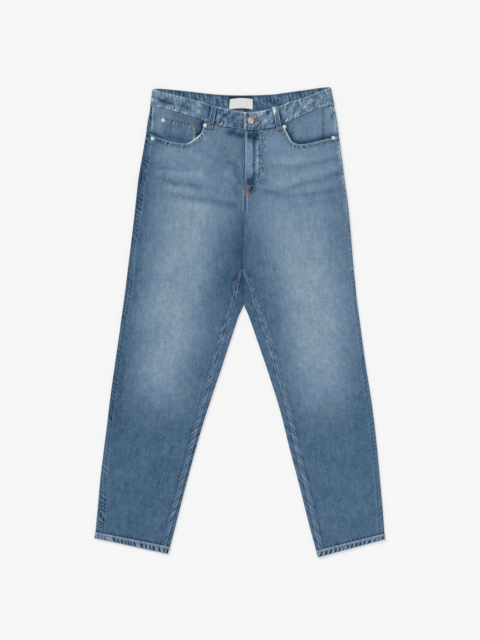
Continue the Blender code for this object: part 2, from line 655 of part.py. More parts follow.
def label_sheet():
    """The blank woven label inside the back of the waistband."""
    x = np.linspace(*LABEL_CORNERS["x"], 7)
    z = SEAT_LIFT + BAND + SEAM_GAP + LABEL_CLOTH / 2
    rows = []
    for k in (0.0, 0.5, 1.0):
        y = LABEL_CORNERS["bottom"] + (LABEL_CORNERS["top"] - LABEL_CORNERS["bottom"]) * k
        rows.append(np.column_stack([x, np.full(7, y), np.full(7, z)]))
    return np.array(rows)


def linear(hex_colour):
    """sRGB hex to the linear colour that a shader takes."""
    parts = [int(hex_colour[k : k + 2], 16) / 255 for k in (0, 2, 4)]
    return [c / 12.92 if c <= 0.04045 else ((c + 0.055) / 1.055) ** 2.4 for c in parts] + [1.0]


def give_material(obj, kind):
    colour, roughness, metallic = COLOURS[kind]
    material = bpy.data.materials.new(obj.name + "_material")
    material.use_nodes = True
    shader = material.node_tree.nodes["Principled BSDF"]
    shader.inputs["Base Color"].default_value = linear(colour)
    shader.inputs["Roughness"].default_value = roughness
    shader.inputs["Metallic"].default_value = metallic
    material.diffuse_color = linear(colour)
    obj.data.materials.append(material)


def add_object(name, mesh, kind):
    obj = bpy.data.objects.new(name, mesh)
    GARMENT.objects.link(obj)
    obj.parent = MIDDLE
    give_material(obj, kind)
    return obj


def cloth(name, grid, thickness, kind, round_and_closed=False):
    """A sheet through a grid of points, with its wall spread to both sides of them."""
    rows, columns = grid.shape[:2]
    number = np.arange(rows * columns).reshape(rows, columns)
    if round_and_closed:
        number = np.column_stack([number, number[:, 0]])
    corners = [number[:-1, :-1], number[:-1, 1:], number[1:, 1:], number[1:, :-1]]
    faces = np.stack(corners, axis=-1).reshape(-1, 4)
    mesh = bpy.data.meshes.new(name)
    mesh.from_pydata((grid.reshape(-1, 3) * MM).tolist(), [], faces.tolist())
    mesh.shade_smooth()
    obj = add_object(name, mesh, kind)
    wall = obj.modifiers.new("Wall", "SOLIDIFY")
    wall.thickness = thickness * MM
    wall.offset = 0.0
    return obj


def turned(name, profile, place, height, kind, steps):
    """A round piece turned from a profile of radius and height, listed from its top to its foot."""
    mesh = bpy.data.meshes.new(name)
    points = [(radius * MM, 0.0, z * MM) for radius, z in profile]
    mesh.from_pydata(points, [(k, k + 1) for k in range(len(points) - 1)], [])
    obj = add_object(name, mesh, kind)
    obj.location = (place[0] * MM, place[1] * MM, height * MM)
    turn = obj.modifiers.new("Turn", "SCREW")
    turn.steps = steps
    turn.render_steps = steps
    turn.use_merge_vertices = True
    turn.merge_threshold = 0.00001
    turn.use_smooth_shade = True
    return obj


def flat_outline(name, outline, thickness, centre, turn_degrees, kind):
    """A flat piece of even thickness, cut to an outline, lying on the table."""
    curve = bpy.data.curves.new(name, "CURVE")
    curve.dimensions = "2D"
    curve.fill_mode = "BOTH"
    curve.extrude = thickness * MM / 2
    spline = curve.splines.new("POLY")
    spline.points.add(len(outline) - 1)
    for point, (x, y) in zip(spline.points, outline):
        point.co = (x * MM, y * MM, 0.0, 1.0)
    spline.use_cyclic_u = True
    obj = add_object(name, curve, kind)
    obj.location = (centre[0] * MM, centre[1] * MM, thickness * MM / 2)
    obj.rotation_euler.z = math.radians(turn_degrees)
    return obj


def back_pocket_outline():
    half_top = BACK_POCKET["width"] / 2
    half_bottom = BACK_POCKET["bottom_width"] / 2
    half_height = BACK_POCKET["height"] / 2
    shoulder = BACK_POCKET["point"] - half_height
    return [
        (-half_top, half_height),
        (-half_bottom, shoulder),
        (0.0, -half_height),
        (half_bottom, shoulder),
        (half_top, half_height),
    ]


def strip_outline(width, length):
    return [
        (-width / 2, -length / 2),
        (width / 2, -length / 2),
        (width / 2, length / 2),
        (-width / 2, length / 2),
    ]


for old in list(bpy.data.objects):
    bpy.data.objects.remove(old, do_unlink=True)

GARMENT = bpy.data.collections.new("jeans")
bpy.context.scene.collection.children.link(GARMENT)
MIDDLE = bpy.data.objects.new("middle_of_garment", None)
MIDDLE.location = (-DRAWN_MIDDLE[0] * MM, -DRAWN_MIDDLE[1] * MM, 0.0)
GARMENT.objects.link(MIDDLE)

RIGHT_LEG = Leg("right", RIGHT_SECTIONS, RIGHT_SIDE)
LEFT_LEG = Leg("left", LEFT_SECTIONS, LEFT_SIDE)
MOUTHS = {"right": RIGHT_POCKET_MOUTH, "left": LEFT_POCKET_MOUTH}
ONE_UNDER = CLOTH + SEAM_GAP
COIN_DEPTH = CLOTH / 2 + SEAM_GAP + COIN_CLOTH / 2
UNDER_COIN = CLOTH + COIN_CLOTH + 2 * SEAM_GAP
FACING_DEPTHS = {"right": UNDER_COIN, "left": ONE_UNDER}

for leg in (RIGHT_LEG, LEFT_LEG):
    mouth = mouth_on_leg(leg, MOUTHS[leg.side])
    cloth("front_panel_" + leg.side, front_panel(leg, mouth), CLOTH, "front_panel")
    cloth("back_panel_" + leg.side, back_panel(leg), CLOTH, "back_panel")
    cloth("back_yoke_" + leg.side, yoke(leg), CLOTH, "back_yoke")
    cloth("hem_" + leg.side, hem(leg), BAND, "hem", round_and_closed=True)
    facing = pocket_facing(leg, mouth, FACING_DEPTHS[leg.side])
    cloth("pocket_facing_" + leg.side, facing, CLOTH, "pocket_facing")
    turn = BACK_POCKET["turn"] * leg.outward
    centre = BACK_POCKET_CENTRES[leg.side]
    flat_outline("back_pocket_" + leg.side, back_pocket_outline(), CLOTH, centre, turn, "back_pocket")
    loop_top, loop_bottom = FRONT_BELT_LOOPS[leg.side]
    loop = front_belt_loop(loop_top, loop_bottom)
    cloth("belt_loop_front_" + leg.side, loop, BELT_LOOP_CLOTH, "belt_loop")

cloth("waistband", waistband(), BAND, "waistband")
cloth("coin_pocket", coin_pocket(RIGHT_LEG, RIGHT_POCKET_MOUTH, COIN_DEPTH), COIN_CLOTH, "coin_pocket")
cloth("label", label_sheet(), LABEL_CLOTH, "label")
for side, centre in BACK_BELT_LOOPS.items():
    outline = strip_outline(BELT_LOOP_WIDTH, BACK_BELT_LOOP_LENGTH)
    flat_outline("belt_loop_back_" + side, outline, CLOTH, centre, 0.0, "belt_loop")

RIVET_PROFILE = [(0.0, 1.5), (0.28, 1.5), (0.55, 1.3), (0.8, 0.9), (1.0, 0.35), (1.0, 0.0), (0.0, 0.0)]
rivet_profile = [(radius * RIVET_RADIUS, z) for radius, z in RIVET_PROFILE]
for name, place in RIVETS.items():
    leg = RIGHT_LEG if place[0] < 0 else LEFT_LEG
    seat = max(
        float(leg.upper_height(place[0] + dx, place[1] + dy))
        for dx in (-RIVET_RADIUS, 0.0, RIVET_RADIUS)
        for dy in (-RIVET_RADIUS, 0.0, RIVET_RADIUS)
    )
    if name == "rivet_coin_pocket":
        seat -= CLOTH / 2 + COIN_DEPTH - COIN_CLOTH / 2
    turned(name, rivet_profile, place, seat + CLOTH / 2 + SEAM_GAP, "rivet", 16)

BUTTON_PROFILE = [
    (0.0, 3.0), (0.3, 3.0), (0.42, 2.6), (0.62, 2.6), (0.75, 3.1), (0.9, 2.9), (1.0, 2.2), (0.95, 1.2),
    (0.45, 0.9), (0.45, 0.0), (0.0, 0.0),
]
button_profile = [(radius * BUTTON_RADIUS, z) for radius, z in BUTTON_PROFILE]
button_seat = float(front_band_height(BUTTON_PLACE[0])) + SEAM_GAP
turned("button", button_profile, BUTTON_PLACE, button_seat, "button", 28)
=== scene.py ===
"""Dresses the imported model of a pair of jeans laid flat: cloth shells, topstitching, metal and stage.

Laid out as an add-on and run as a script. Places are in the drawing's millimetres, with X to the
wearer's left, Y up to the waist and Z up from the table, and become metres in the frame when a mesh
is made. Tone is brightness on the screen's scale of 0 to 255, which the denim material turns to colour.
"""

import functools
import math

import bpy
import numpy as np
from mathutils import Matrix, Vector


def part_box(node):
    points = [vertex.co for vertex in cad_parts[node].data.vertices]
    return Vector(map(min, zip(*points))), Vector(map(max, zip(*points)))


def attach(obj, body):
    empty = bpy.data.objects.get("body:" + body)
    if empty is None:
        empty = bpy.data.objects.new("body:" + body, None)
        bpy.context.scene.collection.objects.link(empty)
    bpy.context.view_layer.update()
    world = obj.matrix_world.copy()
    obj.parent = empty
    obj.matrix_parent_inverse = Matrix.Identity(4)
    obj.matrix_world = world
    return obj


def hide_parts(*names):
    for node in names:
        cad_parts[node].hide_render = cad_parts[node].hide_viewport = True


bl_info = {
    "name": "Laid-flat jeans",
    "version": (1, 0, 0),
    "blender": (4, 5, 0),
    "location": "3D View > Sidebar > Jeans",
    "description": "Cloth, sewing, metal and stage for a pair of jeans laid flat",
    "category": "Object",
}

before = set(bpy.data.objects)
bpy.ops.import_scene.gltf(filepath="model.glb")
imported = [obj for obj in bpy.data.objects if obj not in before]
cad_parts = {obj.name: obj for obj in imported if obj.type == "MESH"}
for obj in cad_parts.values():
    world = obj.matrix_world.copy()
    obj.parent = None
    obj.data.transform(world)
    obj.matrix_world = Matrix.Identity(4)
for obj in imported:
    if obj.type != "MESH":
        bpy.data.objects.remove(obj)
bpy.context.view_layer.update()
BODY = "root"

MM = 0.001
DRAWN_MIDDLE = (0.65, -0.82)

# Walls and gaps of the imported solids. The shells are sewn closer than the solids can lie.
CLOTH = 1.2
BAND = 2.4
COIN_CLOTH = 1.0
LABEL_CLOTH = 0.6
SEAM_GAP = 0.3
SHELL_GAP = 0.06
FOLD_WIDTH = 2.2
BELT_LOOP_WIDTH = 12.4
BELT_LOOP_CLOTH = 1.6
SEAT_LIFT = CLOTH + SEAM_GAP

# Heights of the layers over the table and over each other, middle of wall to middle of wall.
SEAT_LIFT_RANGE = (80.0, 190.0)
HIP_RANGE = (90.0, 300.0)
LEG_LAY = 2.9
LEG_FOLD = 4.4
HIP_LAY = 4.4
HIP_FOLD = 4.6
FOLD_REACH = 16.0
HEM_LAY = 3.2
HEM_FOLD = 4.5
BAND_HEIGHT = 40.0
BAND_RISE = 4.0
BAND_BEND = 2.0
UNDERLAP_DIP = 0.9

# Crotch, fork, crease above the fork, and fly.
CROTCH_Y = 121.0
FORK_Y = 42.0
CREASE_TOP_Y = 243.0
CREASE_WIDTH = 9.0
BACK_SEAM_FLAT_Y = 165.0
FLY_BOTTOM_Y = 278.0
FLY_WIDTH = 34.0
FLY_FADE = 16.0
FLY_RISE = 1.1

# Columns: outer fold y, x; inner fold or centre line y, x; outseam and inseam distance from the folds.
RIGHT_SECTIONS = np.array([
    (-474.8, -318.4, -509.3, -159.6, 16.5, 7), (-461, -317, -493.5, -153.6, 16.5, 7),
    (-400, -311, -430, -137.2, 15.5, 6), (-330, -304.8, -358, -118.4, 10.5, 4.5),
    (-250, -294.4, -276, -96.4, 9, 4), (-170, -284.8, -194, -71.8, 9, 6.5), (-90, -273.9, -110, -43.9, 9, 10.5),
    (-30, -265, -42, -21.5, 9, 13), (20, -258.2, 12, -3.4, 10.5, 16), (48, -254.3, 43, 9.1, 12, 17.5),
    (84, -249.4, 83, 8.15, 12, 9), (122, -244.9, 121, 5.35, 11, 0), (180, -237.9, 180, 6.95, 10, 0),
    (243, -230.4, 243, 11.85, 11.5, 0), (310, -222.9, 310, 12.3, 14, 0), (368, -213.4, 360, 12.5, 14.5, 0),
])
LEFT_SECTIONS = np.array([
    (-477.4, 319.7, -517, 173.4, 11, 4.5), (-464.5, 318.2, -502, 168.8, 11, 4.5),
    (-400, 313.2, -437, 151.3, 9, 6.5), (-330, 307, -364, 133.2, 8.5, 8), (-250, 299.1, -280, 110.9, 7.7, 9),
    (-170, 288.9, -196, 90.2, 8, 11.5), (-90, 276.5, -112, 64, 6, 15), (-30, 268.2, -44, 40.8, 5, 18.5),
    (20, 261.4, 12, 21.2, 5, 20), (48, 257.8, 43, 9.3, 5, 20), (84, 254.2, 83, 8.25, 5, 10),
    (122, 250.2, 121, 5.45, 5, 0), (180, 245.4, 180, 7.05, 4.5, 0), (243, 239.7, 243, 11.95, 4.5, 0),
    (310, 231.4, 310, 12.4, 4, 0), (368, 223.6, 360, 12.6, 4.5, 0),
])
HEM_TOP_ROW = 1
HEM_ROW = 0.84
LAST_ROW = len(RIGHT_SECTIONS) - 1

# Columns: y, x of the outer fold above the last section.
RIGHT_SIDE = np.array([(368, -213.4), (400, -207.9), (422, -204.6), (444, -201.4), (458, -198.4), (471, -196.2)])
LEFT_SIDE = np.array([(368, 223.6), (400, 219.4), (422, 216.5), (444, 213.6), (458, 211.0), (471, 207.6)])

# Columns: x, y along the waistband, from the right fold to the left fold.
FRONT_BAND_SEAM = np.array([
    (-196, 476), (-157, 467), (-127, 459), (-92, 448), (-41, 432), (0, 425), (15, 422), (54, 425),
    (80, 430), (106, 441), (141, 456), (176, 471), (207, 477),
])
FRONT_BAND_TOP = np.array([
    (-196, 512.6), (-190, 511), (-158, 503), (-127, 496), (-96, 488), (-65, 479), (-34, 471), (7, 463), (36, 463),
    (69, 470), (90, 476), (111, 485), (129, 490), (150, 497), (176, 506), (192, 511.5), (208, 516.5),
])
BACK_BAND_TOP = np.array([
    (-196, 513.6), (-186, 514.4), (-176, 514.4), (-148, 512), (-108, 508), (-64, 503), (-20, 500), (24, 500),
    (68, 501.5), (112, 507), (156, 513), (188, 517), (200, 517.6), (208, 517.4),
])
BAND_SIDE_SLANTS = {"right": 5.5, "left": 8.0}
# The outseams' distances from the folds at the pocket mouths and at the waistband.
UPPER_INSETS = {"right": (11.5, 4.6), "left": (4.5, 4.5)}
YOKE_SIDE_Y = 418.0
YOKE_CENTRE_Y = 385.0
YOKE_TOP_SIDE_Y = 471.8
BACK_BAND_SEAM_SIDE_Y = 473.0
BACK_BAND_SEAM_CENTRE_Y = 459.0
UNDERLAP_END_X = 50.0
OVERLAP_END_X = 10.5
OVERLAP_RAMP = 40.0

# Columns: x, y of the pocket mouths, from the side seam up to the waistband.
MOUTHS = {
    "right": np.array([
        (-194.0, 413.5), (-172.0, 404.2), (-149.7, 397.6), (-126.6, 393.8), (-111.1, 396.0),
        (-91.2, 410.2), (-83.3, 419.3), (-78.5, 436.7),
    ]),
    "left": np.array([
        (209.5, 407.5), (190.0, 403.0), (167.3, 397.5), (140.9, 392.3), (125.3, 393.1), (114.7, 398.4),
        (107.7, 410.7), (97.6, 430.1),
    ]),
}
MOUTHS_LOW_Y = 330.0
POCKET_FACING_LAP = 12.0
COIN_POCKET = {"left_top": (-171.3, 450.5), "right_top": (-95.8, 432.8), "lap": 9.0}
COIN_SPAN = 78.0
COIN_DEPTH = CLOTH / 2 + SEAM_GAP + COIN_CLOTH / 2
FACING_DEPTHS = {"right": CLOTH + COIN_CLOTH + 2 * SEAM_GAP, "left": CLOTH + SEAM_GAP}

# Folds of the upper layer. Columns: x and y of one end, x and y of the other end, half width, height.
FOLDS = np.array([
    (-196, 350, -90, 356, 9, 0.7), (-196, 322, -80, 332, 7, 0.5), (-200, 292, -95, 300, 8, 0.6),
    (-190, 337, -100, 344, 4, -0.6), (-190, 306, -90, 313, 4, -0.5), (112, 358, 216, 378, 6, 0.6),
    (128, 344, 222, 352, 5, -0.6), (112, 296, 222, 325, 6, 0.6), (112, 274, 230, 296, 6, 0.5),
    (120, 285, 226, 310, 4, -0.5), (-16, 346, 2, 322, 5, 0.5), (-60, 205, -4, 150, 12, 0.7),
    (18, 165, 80, 215, 12, 0.7), (-215, 120, -70, 60, 18, 0.8), (40, 20, 190, 70, 20, 0.8),
    (-240, -40, -90, 0, 20, 0.9), (60, -60, 210, -20, 20, 0.8), (-250, -150, -110, -110, 18, 0.9),
    (110, -140, 260, -170, 18, 0.9), (-270, -230, -150, -270, 18, 0.8), (130, -240, 280, -280, 18, 0.9),
    (-285, -330, -170, -350, 16, 0.8), (170, -350, 295, -380, 16, 0.8), (-290, -415, -180, -440, 15, 0.8),
    (190, -445, 305, -430, 15, 0.8),
])

# Worn lines of the fronts, and lines of painted shade, as under the waistband beside the fly. Columns: both ends,
# half width, height, tone.
RIGHT_LINES = np.array([
    (-210, 372, -60, 368, 13.5, 0, 9), (-200, 342, -92, 333, 4.7, -0.2, -13),
    (-170, 332, -66, 322, 10.8, 0.2, 13), (-190, 322, -128, 300, 5.4, -0.2, -12),
    (-158, 308, -70, 297, 5.4, -0.2, -18), (-172, 298, -92, 286, 8.1, 0.2, 14),
    (-160, 282, -70, 268, 5.4, -0.2, -16), (-96, 273, 6, 254, 6.8, -0.2, -17),
    (-150, 262, -50, 247, 10.8, 0.2, 10), (-110, 386, -36, 352, 6.8, -0.1, -10),
    (-30, 358, 2, 338, 4.3, -0.3, -19), (-14, 346, 4, 300, 4.3, -0.2, -16), (-30, 326, -2, 272, 4.7, -0.2, -16),
    (-34, 340, -14, 290, 6.8, 0.3, 13), (-34, 422, 16, 408, 6.5, 0, -46), (4, 420, 8, 300, 3, 0, -10),
    (-40, 395, -30, 330, 16, 0, -8), (-84, 432, -74, 396, 4, 0, 22),
])
LEFT_LINES = np.array([
    (46, 345, 150, 341, 5.4, -0.2, -13), (120, 339, 236, 368, 5.4, -0.2, -14),
    (60, 356, 160, 354, 9.5, 0.2, 10), (150, 352, 232, 376, 8.1, 0, 10), (34, 292, 90, 284, 5.4, -0.2, -18),
    (70, 280, 150, 309, 5.4, -0.2, -18), (126, 300, 240, 334, 5.4, -0.2, -15),
    (60, 300, 140, 318, 10.8, 0.2, 12), (126, 314, 232, 346, 9.5, 0.2, 11), (64, 275, 160, 281, 5.4, -0.2, -11),
    (130, 278, 244, 298, 5.4, -0.2, -12), (80, 290, 236, 309, 8.1, 0, 8), (90, 258, 236, 268, 6.8, -0.1, -8),
    (14, 409, 44, 412, 8.5, 0, -72), (28, 404, 40, 396, 6.5, -0.1, -26), (19.8, 406, 19.4, 320, 5, 0, 19),
    (26.6, 406, 26.6, 312, 1.4, 0.45, 34), (31.3, 416, 31, 322, 3.4, -0.35, -34),
    (38.6, 408, 38.8, 322, 2, 0.4, 24), (43.6, 408, 44, 310, 2, -0.2, -20), (19, 322, 21, 280, 7.5, -0.2, -46),
    (33, 338, 27, 278, 7.5, -0.2, -46), (60, 302, 40, 282, 4, 0.2, 12), (120, 410, 210, 396, 5, 0, 8),
])

# Fades of the fronts. Columns: y, x of the palest line, reach to either side, its tone, outer and inner tone.
RIGHT_FADE = np.array([
    (470, -109, 125, 128, 105, 112), (379.5, -109.2, 112, 134, 98, 115), (291.5, -109.2, 100, 138, 99, 110),
    (225.5, -104.8, 86, 152, 103, 90), (159.5, -120.2, 82, 152, 103, 82), (93.5, -129, 79, 151, 106, 80),
    (27.5, -146.6, 76, 153, 107, 94), (-38.5, -151, 70, 150, 106, 104), (-104.5, -173, 62, 148, 103, 101),
    (-137.5, -170.8, 59, 140, 103, 105), (-170.5, -168.6, 59, 127, 100, 102),
    (-203.5, -164.2, 55, 110, 99, 101), (-236.5, -166, 55, 99, 97, 98), (-520, -220, 55, 97, 97, 98),
])
LEFT_FADE = np.array([
    (470, 130.6, 110, 130, 108, 112), (357.5, 130.6, 99, 144, 110, 120), (291.5, 119.6, 99, 138, 110, 110),
    (225.5, 117.4, 88, 147, 112, 103), (159.5, 135, 88, 151, 107, 92), (93.5, 148.2, 86, 154, 108, 92),
    (27.5, 165.8, 80, 155, 105, 94), (-38.5, 170.2, 75, 154, 108, 99), (-104.5, 174.6, 66, 150, 100, 100),
    (-137.5, 181.2, 62, 143, 99, 101), (-170.5, 181.2, 62, 132, 99, 103), (-203.5, 181.2, 57, 115, 99, 103),
    (-236.5, 183, 57, 101, 98, 102), (-520, 240, 57, 104, 102, 105),
])

BACK_POCKET = {
    "width": 140.0, "middle_width": 130.0, "bottom_width": 118.0, "height": 150.0, "point": 22.0, "turn": 5.0,
}
BACK_POCKET_CENTRES = {"right": (-104.0, 285.0), "left": (119.0, 285.0)}
FRONT_BELT_LOOPS = {"right": ((-56.0, 475.5), (-65.2, 425.0)), "left": ((78.0, 474.5), (87.3, 422.5))}
BACK_BELT_LOOPS = {"right": (-130.0, 484.0), "centre": (12.0, 474.0), "left": (150.0, 486.0)}
BACK_BELT_LOOP_LENGTH = 46.0
LOOP_SPAN = 50.0
LOOP_COUNTS = (44, 13)
LABEL_CORNERS = {"bottom": (-23.4, 29.1, 468.6), "top": (-21.2, 29.1, 491.2)}

RIVET_RADIUS = 4.7
BUTTON_RADIUS = 7.3
RIVETS = {
    "rivet_coin_pocket": (-168.0, 444.5),
    "rivet_right_side": (-191.5, 404.2),
    "rivet_right_inner": (-75.8, 433.4),
    "rivet_left_inner": (98.6, 430.0),
    "rivet_left_side": (206.7, 405.8),
}
BUTTON_PLACE = (24.5, 443.5)
TURN_STEPS = 48

# Rows of stitches: distances from the inseam, from the pocket mouth, and from the waistband's edges.
INSEAM_STITCH_INSETS = (1.8, 8.4)
MOUTH_STITCH_INSETS = (2.4, 9.4)
BAND_STITCH_ROWS = ((FRONT_BAND_SEAM, 2.2), (FRONT_BAND_SEAM, 8.6), (FRONT_BAND_TOP, -2.6))
BAND_STITCH_ENDS = ((-189.0, OVERLAP_END_X - 1.0), (OVERLAP_END_X + 2.0, 198.0))
BACK_BAND_STITCH_ENDS = (-178.0, 190.0)
BACK_BAND_STITCH_INSET = 1.4
FLY_ROW_GAP = 6.6

# How far stitches stand out of the cloth, how close those of bar tacks and buttonhole are, and their lean.
STITCH_LIFT = 0.12
BAND_STITCH_LIFT = 0.2
UNDER_STITCH_LIFT = -0.02
TACK_PITCH = 0.75
TACK_LEAN = 0.25
BUTTONHOLE_PITCH = 0.9

# Thickness of the topstitch thread. Length, width and thickness of the close stitches.
THREAD_THICKNESS = 0.55
TACK_SIZE = (3.8, 0.8, 0.5)
FLY_TACK_SIZE = (3.4, 0.8, 0.5)
BUTTONHOLE_SIZE = (3.9, 0.95, 0.7)

# The stage, in metres but for the sensor's millimetres.
WORLD_LIGHT = 0.52
PAPER_SHARE = 0.5
PAPER_GLOW = 0.53
SUN_ON_CLOTH = 0.32
SUN_FROM_VERTICAL = math.radians(48)
SUN_WIDTH = math.radians(14)
SUN_TURN = (math.radians(-34), math.radians(-36), 0.0)
SOFTBOX_SIZE = 3.0
SOFTBOX_HEIGHT = 7.0
SOFTBOX_WATTS = 60.0
FLOOR_DROP = 0.0003
SENSOR = 36.0
CAMERA_HEIGHT = 6.0
FRAMED_HEIGHT = 1.408

# Columns: share of the radius, height over the seat in millimetres.
RIVET_PROFILE = np.array([
    (0.0, 1.2), (0.16, 1.2), (0.26, 1.15), (0.32, 0.95), (0.4, 0.9), (0.55, 0.95), (0.72, 0.92), (0.86, 0.8),
    (0.95, 0.6), (1.0, 0.3), (1.0, 0.0), (0.0, 0.0),
])
BUTTON_PROFILE = np.array([
    (0.0, 3.0), (0.14, 3.0), (0.28, 2.9), (0.36, 2.6), (0.5, 2.55), (0.62, 2.6), (0.7, 2.95), (0.78, 3.1),
    (0.88, 3.0), (0.96, 2.6), (1.0, 2.2), (0.97, 1.5), (0.9, 1.15), (0.45, 0.9), (0.45, 0.0), (0.0, 0.0),
])

# What each kind of piece is cut from. Columns: material, slot, wall, width and length of the cut in metres.
CUTS = {
    "front_panel": ("washed_indigo_denim", "denim_front", CLOTH, (0.285, 0.96)),
    "back_panel": ("washed_indigo_denim", "denim_back", CLOTH, (0.34, 0.95)),
    "back_yoke": ("washed_indigo_denim", "denim_back", CLOTH, (0.27, 0.09)),
    "hem": ("seam_worked_indigo_denim", "denim_hems", BAND, (0.36, 0.016)),
    "waistband": ("seam_worked_indigo_denim", "denim_waistband", BAND, (0.04, 0.86)),
    "pocket_facing": ("washed_indigo_denim", "denim_pockets", CLOTH, (0.15, 0.13)),
    "coin_pocket": ("seam_worked_indigo_denim", "denim_pockets", COIN_CLOTH, (0.08, 0.065)),
    "back_pocket": ("washed_indigo_denim", "denim_pockets", CLOTH, (0.14, 0.15)),
    "belt_loop_front": ("seam_worked_indigo_denim", "denim_loops", BELT_LOOP_CLOTH, (BELT_LOOP_WIDTH * MM, 0.055)),
    "belt_loop_back": ("seam_worked_indigo_denim", "denim_loops", CLOTH, (BELT_LOOP_WIDTH * MM, 0.055)),
    "label": ("blank_woven_satin", "woven_label", LABEL_CLOTH, (0.0525, 0.022)),
}

# Wear that differs from side to side: tone lost beside the outer fold, tone won along the inseam, share of the
# outseam's dashes, and for the rolled edge of the pocket mouth its start, end and share of white.
SIDE_WEAR = {"right": (19.0, 0.0, 1.0, (86.0, 116.0, 1.0)), "left": (3.0, 6.0, 0.65, (104.0, 150.0, 0.5))}

# Bells across seams and edges. Columns: millimetres of relief or tone, place and reach from the seam.
OUTSEAM_RELIEF = ((-0.25, 0.0, 1.2), (0.15, 3.5, 2.4))
OUTSEAM_DASHES = ((1.0, -1.6, 2.0), (1.0, -8.2, 2.3))
OUTSEAM_EDGES = ((12.0, 2.6, 1.8), (11.0, -5.0, 2.4))
INSEAM_GROOVES = ((1.0, 1.8, 1.2), (1.0, 8.4, 1.2))
INSEAM_ROWS = ((34.0, 1.8, 1.5), (30.0, 8.2, 1.5), (26.0, 13.0, 1.6), (-30.0, 5.0, 2.6), (-24.0, 10.8, 2.2))
INSEAM_EDGES = ((-18.0, 0.0, 1.4), (-14.0, 15.0, 2.2))
CREASE_SHADE = ((-7.0, 0.0, 3.2), (-5.0, 0.0, 11.0))
CENTRE_SEAM = ((40.0, 4.4, 1.2), (-36.0, 1.8, 1.4), (-14.0, 7.6, 1.6), (16.0, 0.0, 0.9))
FLY_SPOTS = ((1.0, 34.0, 12.0), (0.4, 14.0, 7.0))
MOUTH_RELIEF = ((0.3, 0.0, 2.0), (-0.25, 2.6, 1.0))
FACING_SHADE = ((-34.0, 0.0, 13.0), (-36.0, 2.0, 6.0))
BAND_END = ((75.0, 0.0, 2.0), (-24.0, 6.0, 2.2))

# The same in shares of the height of the waistband and the hem, and of the width of a belt loop.
BAND_ROWS = ((1.0, 0.05, 0.042), (1.0, 0.2, 0.045))
BAND_EDGES = ((60.0, 1.0, 0.04), (-24.0, 0.0, 0.03), (18.0, 0.125, 0.03))
# The belt loop's dark edges are painted shade.
LOOP_TONES = ((46.0, 0.38, 0.09), (-44.0, 0.2, 0.09), (-66.0, 0.5, 0.07))
HEM_EDGES = ((26.0, 0.0, 0.1), (24.0, 0.97, 0.08))

# Spots on the waistband. Columns: tone, x, reach, share of the height, its reach, its change with x.
BAND_SPOTS = (
    (-50.0, -170.0, 32.0, 0.5, 0.07, -0.003),
    (20.0, -150.0, 40.0, 0.2, 0.16, 0.0),
    (-30.0, 30.0, 32.0, 0.1, 0.14, 0.0),
    (-12.0, -20.0, 26.0, 0.5, 0.3, 0.0),
)

# Straight rows of stitches on the coin pocket, bars of bar tacks and the side that each is sewn on.
COIN_POCKET_ROWS = (
    ((-165.3, 447.3), (-97.8, 431.4)),
    ((-165.3, 440.7), (-97.8, 424.8)),
    ((-98.0, 430.8), (-100.4, 410.8)),
    ((-103.8, 422.8), (-105.8, 404.8)),
    ((-169.1, 441.5), (-167.9, 410.5)),
)
COIN_POCKET_TACKS = (((-99.3, 434.0), (-99.8, 425.5)), ((-103.4, 434.8), (-103.9, 426.3)))
FLY_TACKS = (
    ("left", (14.2, 290.0), (14.2, 279.5)),
    ("left", (18.4, 290.0), (18.4, 279.5)),
    ("right", (9.6, 288.5), (9.6, 280.0)),
)
FLY_BAR_X = (13.6, 17.4, 21.2)
FLY_BAR_Y = (301.5, 292.0)
FLY_CURVE = np.array([
    (53.6, 421.0), (53.6, 330.0), (53.2, 318.0), (50.5, 306.0), (45.0, 296.0), (37.0, 288.0), (27.2, 283.0),
])
FLY_ROWS = (
    ("left", ((14.0, 302.0), (31.0, 301.0))),
    ("left", ((16.4, 281.0), (15.8, 243.0))),
    ("right", ((8.6, 281.0), (8.2, 243.0))),
)
BUTTONHOLE = np.array([
    (20.0, 446.0), (32.0, 446.4), (38.0, 445.2), (43.4, 443.6), (38.0, 441.6), (32.0, 440.6), (20.0, 441.0),
])

# Denim's colours by tone: the blue deepens where the dye is kept and turns grey where it is worn off. Tone lowered
# by painted shade runs down the same stops.
INDIGO_STOPS = (
    (40, "1d3048"), (60, "283d56"), (90, "405c77"), (100, "4b6883"), (111, "57728b"), (123, "667f95"),
    (137, "728ba5"), (146, "7d94a9"), (153, "869bae"), (178, "a5b4be"), (205, "c6d0d4"), (235, "e8ecec"),
)


def smoothstep(value, low, high):
    """0 below low and 1 above high, with a soft start and end between them."""
    t = np.clip((np.asarray(value, float) - low) / (high - low), 0.0, 1.0)
    return t * t * (3.0 - 2.0 * t)


def between(value, low, on, off, high):
    """0 below low and above high, 1 from on to off, and softly changing between them."""
    return smoothstep(value, low, on) * (1 - smoothstep(value, off, high))


def bump(distance, reach):
    """A bell: e to the power of minus the square of distance over reach."""
    return np.exp(-np.square(np.asarray(distance, float) / reach))


def bells(distance, rows):
    """Sum of bells by the distance, each with its height, place and reach."""
    return sum(height * bump(distance - place, reach) for height, place, reach in rows)


def noise(u, v, seed):
    """Smooth uneven heights from -1 to 1: a fixed value at each whole-number corner, blended softly."""
    u, v = np.broadcast_arrays(np.asarray(u, float), np.asarray(v, float))
    cell_u, cell_v = np.floor(u), np.floor(v)
    share_u, share_v = u - cell_u, v - cell_v
    share_u = share_u * share_u * (3 - 2 * share_u)
    share_v = share_v * share_v * (3 - 2 * share_v)

    def corner(i, j):
        value = np.sin((cell_u + i) * 12.9898 + (cell_v + j) * 78.233 + seed * 3.717) * 43758.5453
        return value - np.floor(value)

    low = corner(0, 0) * (1 - share_u) + corner(1, 0) * share_u
    high = corner(0, 1) * (1 - share_u) + corner(1, 1) * share_u
    return 2 * (low * (1 - share_v) + high * share_v) - 1


